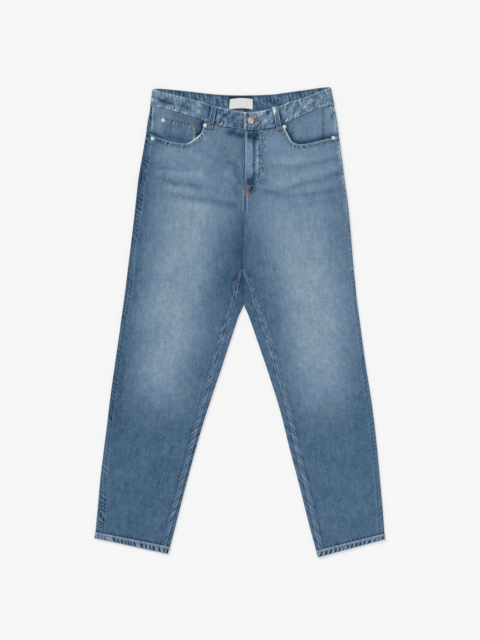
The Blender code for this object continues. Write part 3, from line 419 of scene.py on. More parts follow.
def ripple(along, pitch, seed, lean=0.0):
    """Uneven waves along a seam: a sine whose phase and height wander, leaned by lean waves."""
    along = np.asarray(along, float)
    phase = along / pitch + 0.7 * noise(along / (2.3 * pitch), seed, seed) + lean
    height = 0.65 + 0.35 * noise(along / (1.7 * pitch), seed + 3.0, seed)
    return height * np.sin(2 * math.pi * phase)


def through(rows, places):
    """A smooth curve through the table's rows, read at fractional row numbers."""
    places = np.clip(np.asarray(places, float), 0.0, len(rows) - 1.0)
    padded = np.vstack([2 * rows[0] - rows[1], rows, 2 * rows[-1] - rows[-2]])
    cell = np.minimum(places.astype(int), len(rows) - 2)
    t = (places - cell)[:, None]
    before, start, end, after = (padded[cell + k] for k in range(4))
    return start + 0.5 * t * (
        end - before + t * (2 * before - 5 * start + 4 * end - after + t * (3 * (start - end) + after - before))
    )


def line_y(table, x):
    """Height of a seam or edge table at x, on a smooth curve through its rows."""
    fine = through(table, np.linspace(0, len(table) - 1, 12 * len(table)))
    order = np.argsort(fine[:, 0])
    return np.interp(x, fine[order, 0], fine[order, 1])


def path_lengths(path):
    """Length of a path up to each of its points."""
    return np.append(0.0, np.cumsum(np.linalg.norm(np.diff(path, axis=0), axis=1)))


def distance_to(curve, x, y):
    """Distance from each point to the nearest of a fine curve's points, and that point's place along it."""
    shape = np.shape(x)
    flat = np.column_stack([np.ravel(x), np.ravel(y)])
    squares = ((flat[:, None, :] - curve[None, :, :]) ** 2).sum(axis=2)
    nearest = squares.argmin(axis=1)
    return np.sqrt(squares.min(axis=1)).reshape(shape), path_lengths(curve)[nearest].reshape(shape)


def line_bell(line, x, y, fading, wander=0.0):
    """A bell across a straight line, whose height fades over that share of its length at each end.

    Its middle wanders to the sides by a share of its half width.
    """
    x0, y0, x1, y1, half_width, rise = line[:6]
    length = math.hypot(x1 - x0, y1 - y0)
    along = ((x - x0) * (x1 - x0) + (y - y0) * (y1 - y0)) / length
    across = ((x - x0) * (y1 - y0) - (y - y0) * (x1 - x0)) / length
    across = across + wander * half_width * noise(along / 14.0, half_width, rise + 5.0)
    return between(along, 0, length * fading, length * (1 - fading), length) * bump(across, half_width)


def line_marks(lines, x, y):
    """Sums of the heights and of the tones of worn lines and of lines of painted shade."""
    shares = [line_bell(line, x, y, 0.22, 0.12) for line in lines]
    return tuple(sum(line[k] * share for line, share in zip(lines, shares)) for k in (5, 6))


def table_lift(y):
    return SEAT_LIFT * smoothstep(y, *SEAT_LIFT_RANGE)


def lower_height(y):
    """Middle of the lower layer's wall."""
    return table_lift(y) + CLOTH / 2


def fold_height(y):
    return LEG_FOLD + (HIP_FOLD - LEG_FOLD) * smoothstep(y, *HIP_RANGE)


def lay_height(y):
    return LEG_LAY + (HIP_LAY - LEG_LAY) * smoothstep(y, *HIP_RANGE)


def fold_relief(x, y):
    """Sum of the heights of the folds."""
    return sum(fold[5] * line_bell(fold, x, y, 1 / 3) for fold in FOLDS)


def fold_across(arc):
    """Distance from a fold's edge after arc millimetres on its round edge, or level before and after it."""
    half_turn = math.pi * FOLD_WIDTH
    level = np.maximum(-arc, 0.0) + np.maximum(arc - half_turn, 0.0)
    return FOLD_WIDTH * (1 - np.sin(np.clip(arc, 0.0, half_turn) / FOLD_WIDTH)) + level


class Leg:
    """One side of the garment: where its folds and seams run, how high it lies, how it is worn and where shade is
    painted on it.
    """

    def __init__(self, side, sections, outer_side, fade, lines):
        self.side = side
        self.sections = sections
        self.outward = -1.0 if side == "right" else 1.0
        self.fade = fade[::-1]
        self.lines = lines
        self.seed = 11.0 if side == "right" else 47.0
        fine = through(sections, np.linspace(0, LAST_ROW, 30 * LAST_ROW))
        self.outer_y = np.append(fine[:, 0], outer_side[1:, 0])
        self.outer_line = np.append(fine[:, 1], outer_side[1:, 1])
        self.inner_y = fine[:, 2]
        self.inner_line = fine[:, 3]
        self.outseam_insets = (np.append(fine[:, 0], (413.5, 471.0)), np.append(fine[:, 4], UPPER_INSETS[side]))
        self.inseam_insets = (fine[:, 2], np.maximum(fine[:, 5], 0.0))
        mouth = MOUTHS[side].copy()
        mouth[0, 0] = self.outer_x(mouth[0, 1]) - self.outward * (self.outseam_inset(mouth[0, 1]) + SHELL_GAP)
        self.mouth = mouth
        self.mouth_line = through(mouth, np.linspace(0, len(mouth) - 1, 90))
        self.side_shade, self.seam_wear, self.seam_dashes, self.rolled = SIDE_WEAR[side]

    def outer_x(self, y):
        return np.interp(y, self.outer_y, self.outer_line)

    def inner_x(self, y):
        return np.interp(y, self.inner_y, self.inner_line)

    def outseam_inset(self, y):
        return np.interp(y, *self.outseam_insets)

    def inseam_inset(self, y):
        return np.interp(y, *self.inseam_insets)

    def upper_height(self, x, y):
        """Middle of the upper layer's wall: low in the middle of the leg, higher towards its folds."""
        outer = np.maximum(np.abs(x - self.outer_x(y)) - FOLD_WIDTH, 0.0)
        inner = np.maximum(np.abs(x - self.inner_x(y)) - FOLD_WIDTH, 0.0)
        inner_weight = 1 - smoothstep(y, CROTCH_Y, CREASE_TOP_Y)
        edges = np.minimum(bump(outer, FOLD_REACH) + inner_weight * bump(inner, FOLD_REACH), 1.0)
        rise = (fold_height(y) - lay_height(y)) * edges
        fly = 0.0
        if self.side == "left":
            from_edge = np.abs(x - self.inner_x(y))
            fly = FLY_RISE * (1 - smoothstep(from_edge, FLY_WIDTH, FLY_WIDTH + FLY_FADE))
            fly = fly * smoothstep(y, FLY_BOTTOM_Y, FLY_BOTTOM_Y + FLY_WIDTH)
        return lower_height(y) + lay_height(y) + rise + fly + fold_relief(x, y)

    def bend(self, arc, x_fold, y, inward):
        """A point on the fold's round edge, arc millimetres from where it leaves the lower layer.

        The bend is half an ellipse from the lower to the upper layer. Below it the point runs back
        along the lower layer, and past it along the upper one.
        """
        half_turn = math.pi * FOLD_WIDTH
        angle = np.clip(arc, 0.0, half_turn) / FOLD_WIDTH
        x = x_fold + inward * fold_across(arc)
        top = self.upper_height(np.where(arc > half_turn, x, x_fold + inward * FOLD_WIDTH), y)
        half_height = (top - lower_height(y)) / 2
        return x, lower_height(y) + half_height * (1 - np.cos(angle))

    def mouth_wear(self, along):
        """How white the rolled edge of the mouth is worn, by the distance along it from the side."""
        low, high, white = self.rolled
        return white * between(along, low - 10.0, low + 6.0, high - 6.0, high + 8.0)

    def faded(self, x, y):
        """Tone of the wash: a flat-topped bell across the leg, over an outer and an inner tone."""
        centre, reach, peak, outer, inner = (
            np.interp(y, self.fade[:, 0], self.fade[:, k]) for k in range(1, 6)
        )
        across = (x - centre) / reach
        outer_share = smoothstep(across * self.outward, -0.5, 0.5)
        side = inner + (outer - inner) * outer_share
        return side + (peak - side) * np.exp(-np.abs(across) ** 2.6)


LEGS = {
    "right": Leg("right", RIGHT_SECTIONS, RIGHT_SIDE, RIGHT_FADE, RIGHT_LINES),
    "left": Leg("left", LEFT_SECTIONS, LEFT_SIDE, LEFT_FADE, LEFT_LINES),
}


def outseam_marks(leg, from_outer, y):
    """Relief and tone of the side seam: puckers, a groove, two columns of dashes and a shaded fold.

    The puckers are waves along the seam that lean with the distance from it. The dashes are the same
    waves on two bells beside it, and come and go in patches along the leg.
    """
    outseam = from_outer - leg.outseam_inset(y)
    waves = ripple(y, 9.5, leg.seed + 4, outseam / 14.0)
    strip = bump(outseam + 4.0, 7.0)
    patches = noise(y / 21.0, leg.seed, leg.seed + 16)
    worked = 0.75 + 0.75 * smoothstep(y, 100.0, 260.0) + 0.65 * (1 - smoothstep(y, -430.0, -330.0))
    worked = worked * leg.seam_dashes * np.maximum(0.85 + 0.95 * patches, 0.1)
    tone = 12.0 * waves * strip + (34.0 * waves - 10.0) * worked * bells(outseam, OUTSEAM_DASHES)
    tone = tone + bells(outseam, OUTSEAM_EDGES) - 3.0 * smoothstep(y, 250.0, 300.0)
    tone = tone + 30.0 * smoothstep(y, 40.0, 130.0) * bump(outseam + 0.4, 1.6) * (0.8 - 0.7 * patches)
    shade = leg.side_shade * (1.0 + 0.6 * smoothstep(y, 250.0, 330.0))
    tone = tone - shade * bump(from_outer, 24.0) * smoothstep(y, -330.0, -120.0)
    if leg.side == "left":
        tone = tone + (26.0 + 20.0 * waves) * bump(from_outer - 1.5, 3.0) * smoothstep(y, 240.0, 300.0)
    return 0.4 * waves * strip + bells(outseam, OUTSEAM_RELIEF), tone


def inseam_marks(leg, from_inner, y):
    """Relief and tone of the inseam, a raised strip with waves and grooves, and painted shade in the crease above
    it.

    From the knee up its thread rows turn paler and the valleys between them darker.
    """
    on_leg = 1 - smoothstep(y, CROTCH_Y - 25.0, CROTCH_Y)
    inseam = from_inner - leg.inseam_inset(y)
    waves = ripple(y, 12.0, leg.seed + 6, inseam / 11.0) + 0.6 * ripple(y, 27.0, leg.seed + 7, inseam / 30.0)
    band = between(inseam, -1.0, 1.0, 12.5, 15.0)
    strip = bump(inseam - 6.0, 9.0)
    grooves = bells(inseam, INSEAM_GROOVES)
    height = on_leg * (0.35 * band + 0.42 * waves * strip - 0.25 * grooves - 0.3 * bump(inseam, 1.1))
    upper = smoothstep(y, -260.0, -60.0)
    worn = 30.0 * (1.0 - 0.5 * upper) * waves * strip + 12.0 * bump(inseam - 4.8, 3.0) - 12.0 * grooves
    speckled = 26.0 * band * noise(y / 6.0, inseam / 4.0, leg.seed + 17)
    worn = worn + upper * (bells(inseam, INSEAM_ROWS) + speckled) + bells(inseam, INSEAM_EDGES)
    worn = worn + 18.0 * waves * bump(from_inner, 5.0) + leg.seam_wear * bump(inseam - 6.0, 10.0)
    crease = between(y, FORK_Y - 6.0, FORK_Y + 20.0, 225.0, 250.0)
    return height, on_leg * worn + crease * bells(from_inner, CREASE_SHADE)


def centre_marks(leg, from_inner, x, y):
    """Relief and tone of the centre seam, of the fly's rubbed edge, spots and beaded stitch line, and of a painted
    shadow beside the fly's edge.
    """
    seam = between(y, 236.0, 250.0, 284.0, 296.0)
    waves = ripple(y, 7.0, leg.seed + 8)
    height = seam * (0.3 * waves * bump(from_inner - 2.5, 4.0) - 0.3 * bump(from_inner, 1.0))
    tone = seam * (bells(from_inner, CENTRE_SEAM) + 12.0 * waves * bump(from_inner - 4.0, 4.5))
    if leg.side == "right":
        # On the right front, a painted shadow along the edge of the fly that lies over it.
        return height, tone - 30.0 * smoothstep(y, 284.0, 300.0) * bump(from_inner, 3.0)
    tone = tone + 44.0 * smoothstep(y, 296.0, 306.0) * bump(from_inner, 1.6)
    tone = tone - 12.0 * smoothstep(y, 300.0, 320.0) * bump(from_inner - 36.0, 7.0)
    spots = noise(x / 2.6, y / 3.4, leg.seed + 9) * smoothstep(y, 290.0, 310.0)
    beads = ripple(y, 7.0, leg.seed + 15) * smoothstep(y, 300.0, 330.0)
    return height, tone + 40.0 * spots * bells(from_inner, FLY_SPOTS) + 26.0 * beads * bump(from_inner - 38.0, 3.0)


def mouth_marks(leg, x, y):
    """Relief and tone beside the pocket mouth, a rolled edge over puckers, and under the waistband, puckers and
    painted shade.
    """
    near = y > MOUTHS_LOW_Y
    gap = np.full(np.shape(x), 99.0)
    along = np.zeros(np.shape(x))
    gap[near], along[near] = distance_to(leg.mouth_line, x[near], y[near])
    waves = ripple(along, 7.2, leg.seed + 10, gap / 22.0)
    white = leg.mouth_wear(along)
    strip = bump(gap - 6.2, 3.2) * (1 - 0.55 * white)
    height = 0.45 * waves * strip + bells(gap, MOUTH_RELIEF)
    tone = (66.0 * waves - 30.0) * strip + 30.0 * bump(gap, 1.9) + 100.0 * white * bump(gap - 0.6, 2.5)
    tone = tone + (18.0 * ripple(along, 5.2, leg.seed + 11) - 8.0) * bump(gap - 10.4, 1.5)
    below = line_y(FRONT_BAND_SEAM, x) - y
    waves = ripple(x, 12.0, leg.seed + 12, below / 30.0)
    # Under the waistband: puckers over painted shade, darkest right under the band's edge.
    tone = tone + (12.0 * waves - 8.0) * bump(below, 13.0) - 18.0 * bump(below, 2.0)
    return height + 0.3 * waves * bump(below, 12.0), tone


def upper_marks(leg, x, y):
    """Small relief in millimetres and tone of the upper layer: wash, creases, seams, puckers and painted shade,
    summed.
    """
    from_outer = np.abs(x - leg.outer_x(y))
    from_inner = np.abs(x - leg.inner_x(y))
    seed = leg.seed
    uneven = 0.22 * noise(x / 38.0, y / 52.0, seed + 2) + 0.1 * noise(x / 15.0, y / 21.0, seed + 3)
    wash = leg.faded(x, y) + 3.5 * noise(x / 26.0, y / 34.0, seed) + 2.5 * noise(x / 9.0, y / 15.0, seed + 1)
    above_hem = y - hem_line(leg, x)
    waves = ripple(x, 8.0, seed + 14, above_hem / 24.0)
    parts = [
        (uneven, wash),
        line_marks(leg.lines, x, y),
        outseam_marks(leg, from_outer, y),
        inseam_marks(leg, from_inner, y),
        centre_marks(leg, from_inner, x, y),
        # Just above the hem: puckers, and dashes of painted shadow along the hem's raised edge.
        (0.3 * waves * bump(above_hem, 6.0), (56.0 * waves - 30.0) * bump(above_hem - 0.5, 3.0)),
    ]
    if np.max(y) > MOUTHS_LOW_Y:
        parts.append(mouth_marks(leg, x, y))
    return tuple(sum(values) for values in zip(*parts))


def hem_line(leg, x):
    """y of the hem's upper edge at x: the straight line between the ends of the second section."""
    outer_y, outer_x, inner_y, inner_x = leg.sections[HEM_TOP_ROW, :4]
    return outer_y + (inner_y - outer_y) * (x - outer_x) / (inner_x - outer_x)


def inner_seam_arc(inset, y):
    """How far up the inner fold the inseam lies, from the lower layer, for its distance from the fold."""
    on_bend = np.arccos(np.clip(1 - inset / FOLD_WIDTH, 0.0, 1.0)) + math.pi / 2
    along = np.where(inset > FOLD_WIDTH, math.pi * FOLD_WIDTH + inset - FOLD_WIDTH, on_bend * FOLD_WIDTH)
    return along * (1 - smoothstep(y, CROTCH_Y, BACK_SEAM_FLAT_Y))


def section_rows(leg, spacing, upper_spacing):
    """The section table read every so many millimetres up the leg, from the hem to the last row.

    From the crease's top on, the rows are upper_spacing apart.
    """
    places = np.linspace(HEM_TOP_ROW, LAST_ROW, 2000)
    fine = through(leg.sections, places)
    middle = (fine[:, 0] + fine[:, 2]) / 2
    steps = np.diff(middle) / np.where(middle[1:] < CREASE_TOP_Y - 15.0, spacing, upper_spacing)
    count = np.append(0.0, np.cumsum(steps))
    rows = through(leg.sections, np.interp(np.linspace(0, count[-1], int(count[-1])), count, places))
    rows[:, 5] = np.maximum(rows[:, 5], 0.0)
    return rows


def front_edge(leg, rows):
    """The front panel's inner edge: on the inseam, round the fold at the crotch, then up the centre."""
    y = rows[:, 2]
    fold_x = rows[:, 3]
    arc = inner_seam_arc(rows[:, 5], np.minimum(y, CROTCH_Y)) + SHELL_GAP / 2
    x, z = leg.bend(arc, fold_x, y, leg.outward)
    above = y > CROTCH_Y
    rising = smoothstep(y, CROTCH_Y, CREASE_TOP_Y)
    z = np.where(above, z + (leg.upper_height(fold_x, y) - z) * rising, z)
    return fold_x, np.where(above, 0.0, np.abs(x - fold_x)), z


def edge_dip(z, edge_z, t, distance, crease_width):
    """Bends the upper layer down to its inner edge on a quarter ellipse, where it folds or creases."""
    start = np.clip(distance / crease_width[:, -1], 0, 1)
    rim = np.sqrt(1 - np.square(1 - start))
    full = z[:, -1:] - (z[:, -1:] - edge_z[:, None]) / np.maximum(1 - rim, 1e-6)[:, None]
    curve = np.sqrt(1 - np.square(1 - t))
    dips = (start < 1)[:, None] & (t < 1)
    return np.where(dips, z - (z[:, -1:] - full) * (1 - curve), z)


def front_panel_grid(leg):
    """Rows up the leg and columns from the outseam to the inner edge, then rows on to the top edge.

    Across, a column keeps its share of the width up to 44 mm from the inner edge, and its distance
    from that edge within them. Above the last section, points run straight to the mouth and seam.
    """
    near = np.concatenate([[0.0, 0.5, 1.2, 2.1, 3.2], np.arange(4.4, 45.0, 1.35)])
    rows = section_rows(leg, 3.0, 2.0)
    rows[0, [0, 2]] += SHELL_GAP
    fold_x, distance, edge_z = front_edge(leg, rows)
    slope = (rows[:, 2] - rows[:, 0]) / np.abs(rows[:, 3] - rows[:, 1])
    start = rows[:, 4] + SHELL_GAP / 2
    width = np.abs(fold_x - rows[:, 1])
    inner_columns = np.array([width - distance - k for k in near[::-1]]).T
    mouth = leg.mouth
    span = abs(leg.sections[-1, 3] - mouth[0, 0]) - near[-1]
    corner = abs(mouth[-1, 0] - mouth[0, 0]) / span
    mouth_columns = 56
    rest_columns = int(round(mouth_columns * (1 - corner) / corner)) + 1
    shares = np.append(np.linspace(0, corner, mouth_columns), np.linspace(corner, 1, rest_columns)[1:])
    outer_columns = start[:, None] + (inner_columns[:, :1] - start[:, None]) * shares
    across = np.concatenate([outer_columns, inner_columns[:, 1:]], axis=1)
    x = rows[:, 1:2] - leg.outward * across
    y = rows[:, :1] + slope[:, None] * across
    z = leg.upper_height(x, y)
    crease_width = FOLD_WIDTH + (CREASE_WIDTH - FOLD_WIDTH) * smoothstep(y, CROTCH_Y, CREASE_TOP_Y)
    t = np.clip(np.abs(x - fold_x[:, None]) / crease_width, 0, 1)
    z = edge_dip(z, edge_z, t, distance, crease_width)

    along_mouth = through(mouth, np.linspace(0, len(mouth) - 1, mouth_columns))
    centre = leg.sections[-1, 3] + leg.outward * SHELL_GAP / 2
    seam_x = np.linspace(mouth[-1, 0], centre + leg.outward * near[-1], rest_columns)[1:]
    seam_x = np.append(seam_x, centre + leg.outward * near[-2::-1])
    along_seam = np.column_stack([seam_x, line_y(FRONT_BAND_SEAM, seam_x) - SHELL_GAP])
    top = np.vstack([along_mouth, along_seam])
    share = np.linspace(0, 1, 37)[1:, None]
    upper_x = x[-1] + (top[:, 0] - x[-1]) * share
    upper_y = y[-1] + (top[:, 1] - y[-1]) * share
    x = np.vstack([x, upper_x])
    y = np.vstack([y, upper_y])
    z = np.vstack([z, leg.upper_height(upper_x, upper_y)])
    return np.stack([x, y, z], axis=-1)


def back_ring_grid(leg, outer, inner, outseam, inseam):
    """The lower layer with both folds and lips: columns run over outer lip, bend, layer, bend, lip.

    outer and inner are the section ends. outseam and inseam are how far the lips reach in over the
    front. Each bend is half an ellipse, and the layer between them is straight.
    """
    half_turn = math.pi * FOLD_WIDTH
    flat_start = 3.0
    shortest_lip = 0.8
    slope = (inner[:, 1] - outer[:, 1]) / np.abs(inner[:, 0] - outer[:, 0])

    lip = np.maximum(outseam - FOLD_WIDTH - SHELL_GAP / 2, shortest_lip)
    arcs = [half_turn + lip * k for k in np.linspace(1, 0, 7)[:-1]]
    arcs += [np.full_like(lip, half_turn * k) for k in np.linspace(1, 0, 8)]
    arcs = np.array(arcs + [np.full_like(lip, -flat_start)]).T
    outer_y = outer[:, 1:2] + slope[:, None] * fold_across(arcs)
    outer_x, outer_z = leg.bend(arcs, outer[:, :1], outer_y, -leg.outward)

    end_arc = np.maximum(inner_seam_arc(inseam, inner[:, 1]) - SHELL_GAP / 2, 0.0)
    bend_end = np.minimum(half_turn, end_arc - shortest_lip)
    arcs = [-flat_start + (bend_end + flat_start) * k for k in np.linspace(0, 1, 9)]
    arcs += [bend_end + (end_arc - bend_end) * k for k in np.linspace(0, 1, 7)[1:]]
    arcs = np.array(arcs).T
    reach = np.sin(np.clip(end_arc, 0, half_turn / 2) / FOLD_WIDTH)
    shift = ((1 - reach) * (FOLD_WIDTH - SHELL_GAP / 2))[:, None]
    inner_y = inner[:, 1:2] - slope[:, None] * (fold_across(arcs) - shift)
    inner_x, inner_z = leg.bend(arcs, inner[:, :1], inner_y, leg.outward)
    inner_x = inner_x - leg.outward * shift

    share = np.linspace(0, 1, 26)[1:-1]
    middle_x = outer_x[:, -1:] + (inner_x[:, :1] - outer_x[:, -1:]) * share
    middle_y = outer_y[:, -1:] + (inner_y[:, :1] - outer_y[:, -1:]) * share
    x = np.hstack([outer_x, middle_x, inner_x])
    y = np.hstack([outer_y, middle_y, inner_y])
    z = np.hstack([outer_z, lower_height(middle_y), inner_z])
    return np.stack([x, y, z], axis=-1)


def back_panel_grid(leg):
    """The back from the hem to the yoke seam, with its lips round both folds."""
    rows = section_rows(leg, 3.0, 2.4)
    share = np.linspace(0, 1, 15)[1:]
    side_y = rows[-1, 0] + (YOKE_SIDE_Y - rows[-1, 0]) * share
    centre_y = rows[-1, 2] + (YOKE_CENTRE_Y - rows[-1, 2]) * share
    outer = np.vstack([rows[:, [1, 0]], np.column_stack([leg.outer_x(side_y), side_y])])
    inner = np.vstack([rows[:, [3, 2]], np.column_stack([np.full(14, rows[-1, 3]), centre_y])])
    outseam = np.append(rows[:, 4], leg.outseam_inset(side_y))
    inseam = np.append(rows[:, 5], np.zeros(14))
    outer[0, 1] += SHELL_GAP
    inner[0, 1] += SHELL_GAP
    return back_ring_grid(leg, outer, inner, outseam, inseam)


def yoke_grid(leg):
    """The yoke from its lower seam to the back seam of the waistband."""
    share = np.linspace(0, 1, 24)
    side_y = YOKE_SIDE_Y + SHELL_GAP + (YOKE_TOP_SIDE_Y - YOKE_SIDE_Y - SHELL_GAP) * share
    centre_y = YOKE_CENTRE_Y + SHELL_GAP + (BACK_BAND_SEAM_CENTRE_Y - YOKE_CENTRE_Y - SHELL_GAP) * share
    outer = np.column_stack([leg.outer_x(side_y), side_y])
    inner = np.column_stack([np.full(24, leg.sections[-1, 3]), centre_y])
    grid = back_ring_grid(leg, outer, inner, leg.outseam_inset(side_y), np.zeros(24))
    # The lip on the front reaches on to the waistband's front seam, which is higher than the back one.
    x, y, z = grid[..., 0], grid[..., 1], grid[..., 2]
    on_lip = smoothstep(z - lower_height(y), 1.6, 3.6) * (np.abs(x - leg.outer_x(y)) < 40.0)
    reach = np.maximum(line_y(FRONT_BAND_SEAM, x) - SHELL_GAP - y[-1:], 0.0)
    grid[..., 1] = y + on_lip * reach * share[:, None]
    return grid


def back_marks(leg, grid):
    """Relief and tone of a back piece: the fronts' marks on its lips, a broad seat and calf fade below."""
    x, y, z = grid[..., 0], grid[..., 1], grid[..., 2]
    lower = 1 - smoothstep(z - lower_height(y), 0.4, 2.4)
    height, tone = upper_marks(leg, x, y)
    from_outer = np.abs(x - leg.outer_x(y))
    from_inner = np.abs(x - leg.inner_x(y))
    centre = (leg.outer_x(y) + leg.inner_x(y)) / 2
    seat = bump(x - centre, 90.0) * bump(y - 250.0, 120.0) + 0.7 * bump(x - centre, 60.0) * bump(y + 60.0, 130.0)
    under = 104.0 + 34.0 * seat + 4.0 * noise(x / 24.0, y / 33.0, leg.seed + 20)
    waves = ripple(y, 12.0, leg.seed + 21)
    under = under + 9.0 * waves * (bump(from_outer, 8.0) + bump(from_inner - 3.0, 7.0))
    return height * (1 - lower), tone * (1 - lower) + under * lower


def hem_height(across, length):
    """Middle of the hem's upper layer, by the distance from its outer fold: highest at both folds."""
    edge = bump(across - FOLD_WIDTH, FOLD_REACH) + bump(length - across - FOLD_WIDTH, FOLD_REACH)
    return BAND / 2 + HEM_FOLD - (HEM_FOLD - HEM_LAY) * (1 - edge)


def hem_ends(row):
    """Outer and inner end of the hem at a row of the section table, and its length between them."""
    outer, inner = np.array([row[1], row[0]]), np.array([row[3], row[2]])
    return outer, inner, np.linalg.norm(inner - outer)


def hem_grid(leg):
    """The turned-up end: a closed ring of columns round both layers, in rows up its short height.

    Across, the ring is lower layer, half-ellipse bend, upper layer, half-ellipse bend. Also returns
    each point's distance from the outer fold.
    """
    angles = np.linspace(0, math.pi, 9)
    share = np.linspace(0, 1, 110)[1:-1]
    bend_z = BAND / 2 + HEM_FOLD * (1 - np.cos(angles)) / 2
    grids, arounds = [], []
    for row in through(leg.sections, np.linspace(0, HEM_TOP_ROW, 11)):
        outer, inner, length = hem_ends(row)
        lower = FOLD_WIDTH + (length - 2 * FOLD_WIDTH) * share
        upper = lower[::-1]
        inner_bend = length - FOLD_WIDTH * (1 - np.sin(angles))
        outer_bend = FOLD_WIDTH * (1 - np.sin(angles[::-1]))
        across = np.concatenate([lower, inner_bend, upper, outer_bend])
        z = np.concatenate([np.full(len(lower), BAND / 2), bend_z, hem_height(upper, length), bend_z[::-1]])
        grids.append(np.column_stack([outer + (inner - outer) / length * across[:, None], z]))
        arounds.append(across)
    return np.array(grids), np.array(arounds)


def hem_marks(leg, around, up):
    """Roping of the hem: leaning waves, dark where they are high, between two pale edges.

    A beaded dark line runs under the upper edge, where the stitches are.
    """
    waves = ripple(around, 9.4, leg.seed + 30, up * 0.5)
    dark = smoothstep(waves + 0.3 * noise(around / 15.0, 0.0, leg.seed + 33), -0.15, 0.5)
    middle = between(up, 0.08, 0.26, 0.72, 0.88)
    tone = 130.0 + (18.0 - 104.0 * dark) * middle + bells(up, HEM_EDGES)
    tone = tone - (12.0 + 26.0 * ripple(around, 5.8, leg.seed + 32)) * bump(up - HEM_ROW, 0.08)
    tone = tone + 12.0 * noise(around / 4.0, up * 3.0, leg.seed + 31)
    return 0.45 * waves * middle - 0.25 * bump(up - 0.82, 0.08), tone


def pocket_facing_grid(leg):
    """The cloth behind the pocket mouth, from a lap under the front panel to the waistband seam.

    It lies its depth under the front panel, and rises to its level at the side and waistband seams.
    """
    share = np.linspace(0, 1, 60)
    bottom = through(leg.mouth, share * (len(leg.mouth) - 1))
    bottom[:, 1] -= POCKET_FACING_LAP * (1 - 0.6 * share)
    bottom[:, 0] -= leg.outward * POCKET_FACING_LAP * share * 0.7
    side = leg.outer_x(470.0) - leg.outward * leg.outseam_inset(470.0)
    top_x = side + (leg.mouth[-1, 0] - leg.outward * POCKET_FACING_LAP * 0.7 - side) * share
    top = np.column_stack([top_x, line_y(FRONT_BAND_SEAM, top_x) - SHELL_GAP])
    xy = bottom + (top - bottom) * np.linspace(0, 1, 40)[:, None, None]
    y = xy[..., 1]
    inset = leg.outseam_inset(y) + SHELL_GAP / 2
    off_seam = leg.outer_x(y) - leg.outward * inset - xy[..., 0]
    xy[..., 0] += off_seam[:, :1] * (1 - share) ** 3
    x = xy[..., 0]
    mouth_y = np.interp(x * leg.outward, leg.mouth_line[::-1, 0] * leg.outward, leg.mouth_line[::-1, 1])
    clear = smoothstep(y - mouth_y, 2.0, 14.0)
    at_side = 1 - smoothstep(np.abs(x - leg.outer_x(y)) - inset, 0.0, 14.0)
    at_band = 1 - smoothstep(line_y(FRONT_BAND_SEAM, x) - y, 0.0, 13.0)
    risen = clear * np.maximum(at_side, at_band)
    z = leg.upper_height(x, y) - FACING_DEPTHS[leg.side] * (1 - risen)
    return np.concatenate([xy, z[..., None]], axis=-1)


def pocket_facing_marks(leg, x, y):
    """Relief and tone of a facing: shaded under the mouth's edge, with a rubbed line at the side seam."""
    gap = distance_to(leg.mouth_line, x, y)[0]
    from_outer = np.abs(x - leg.outer_x(y))
    below = line_y(FRONT_BAND_SEAM, x) - y
    waves = ripple(x, 9.0, leg.seed + 42, below / 24.0)
    edge = from_outer - leg.outseam_inset(y)
    tone = 128.0 + 5.0 * noise(x / 15.0, y / 20.0, leg.seed + 41) + bells(gap, FACING_SHADE)
    tone = tone + (8.0 * waves - 4.0) * bump(below, 8.0)
    tone = tone + 62.0 * bump(edge - 0.6, 1.8) - 50.0 * bump(edge - 3.0, 3.0) * bump(y - 453.0, 9.0)
    if leg.side == "right":
        tone = tone + 8.0 - 22.0 * smoothstep(from_outer, 30.0, 62.0)
    else:
        tone = tone - 24.0 * bump(x - 183.4, 2.6) + 10.0 * bump(from_outer - 16.0, 9.0)
    return 0.12 * noise(x / 18.0, y / 22.0, leg.seed + 40), tone


def coin_pocket_grid(leg):
    """The small pocket on the right facing, from a lap under the front panel to its top edge."""
    share = np.linspace(0, 1, 44)
    start = np.array(COIN_POCKET["left_top"])
    end = np.array(COIN_POCKET["right_top"])
    top = start + (end - start) * share[:, None]
    mouth = MOUTHS["right"]
    fine = through(mouth, np.linspace(0, len(mouth) - 1, 80))
    x = top[:, 0] + 2.0 - 4.0 * share
    bottom = np.column_stack([x, np.interp(x, fine[:, 0], fine[:, 1]) - COIN_POCKET["lap"]])
    xy = bottom + (top - bottom) * np.linspace(0, 1, 34)[:, None, None]
    z = leg.upper_height(xy[..., 0], xy[..., 1]) - COIN_DEPTH
    return np.concatenate([xy, z[..., None]], axis=-1)


def coin_pocket_marks(x, y):
    """Relief and tone of the coin pocket: puckers under its opening and down both sides, and painted shade at the
    foot, under the edge of the pocket mouth.
    """
    start, end = np.array(COIN_POCKET["left_top"]), np.array(COIN_POCKET["right_top"])
    along = (x - start[0]) / (end[0] - start[0])
    down = start[1] + (end[1] - start[1]) * along - y
    waves = ripple(along * COIN_SPAN, 6.6, 71.0, down / 24.0)
    strip = bump(down - 6.0, 3.4)
    sides = bump(along * COIN_SPAN - 2.0, 2.0) + bump((1 - along) * COIN_SPAN - 3.0, 4.5)
    tone = 114.0 + (56.0 * waves + 2.0) * strip - 40.0 * bump(down, 1.5) + 6.0 * noise(x / 9.0, y / 12.0, 74.0)
    # Painted shade towards the foot, which lies under the edge of the pocket mouth.
    tone = tone + (26.0 * ripple(down, 5.6, 73.0) + 12.0) * sides - 26.0 * smoothstep(down, 24.0, 42.0)
    return 0.25 * waves * strip + 0.1 * ripple(down, 7.0, 73.0) * sides, tone


def underlap_dip(x):
    """How far the band's right end lies below the rest of its front, at x."""
    return UNDERLAP_DIP * smoothstep(x, OVERLAP_END_X - OVERLAP_RAMP, OVERLAP_END_X - 5.0)


def overlap_lift(x):
    """How far the band's left end lies above the rest of its front, at x."""
    lift = BAND + SEAM_GAP - UNDERLAP_DIP
    return lift * (1 - smoothstep(x, UNDERLAP_END_X + 4.0, UNDERLAP_END_X + OVERLAP_RAMP))


def front_band_height(x):
    """Upper face of the waistband's front, at x."""
    high = SEAT_LIFT + BAND + BAND_RISE
    return high + np.where(x > OVERLAP_END_X, overlap_lift(x), -underlap_dip(x))


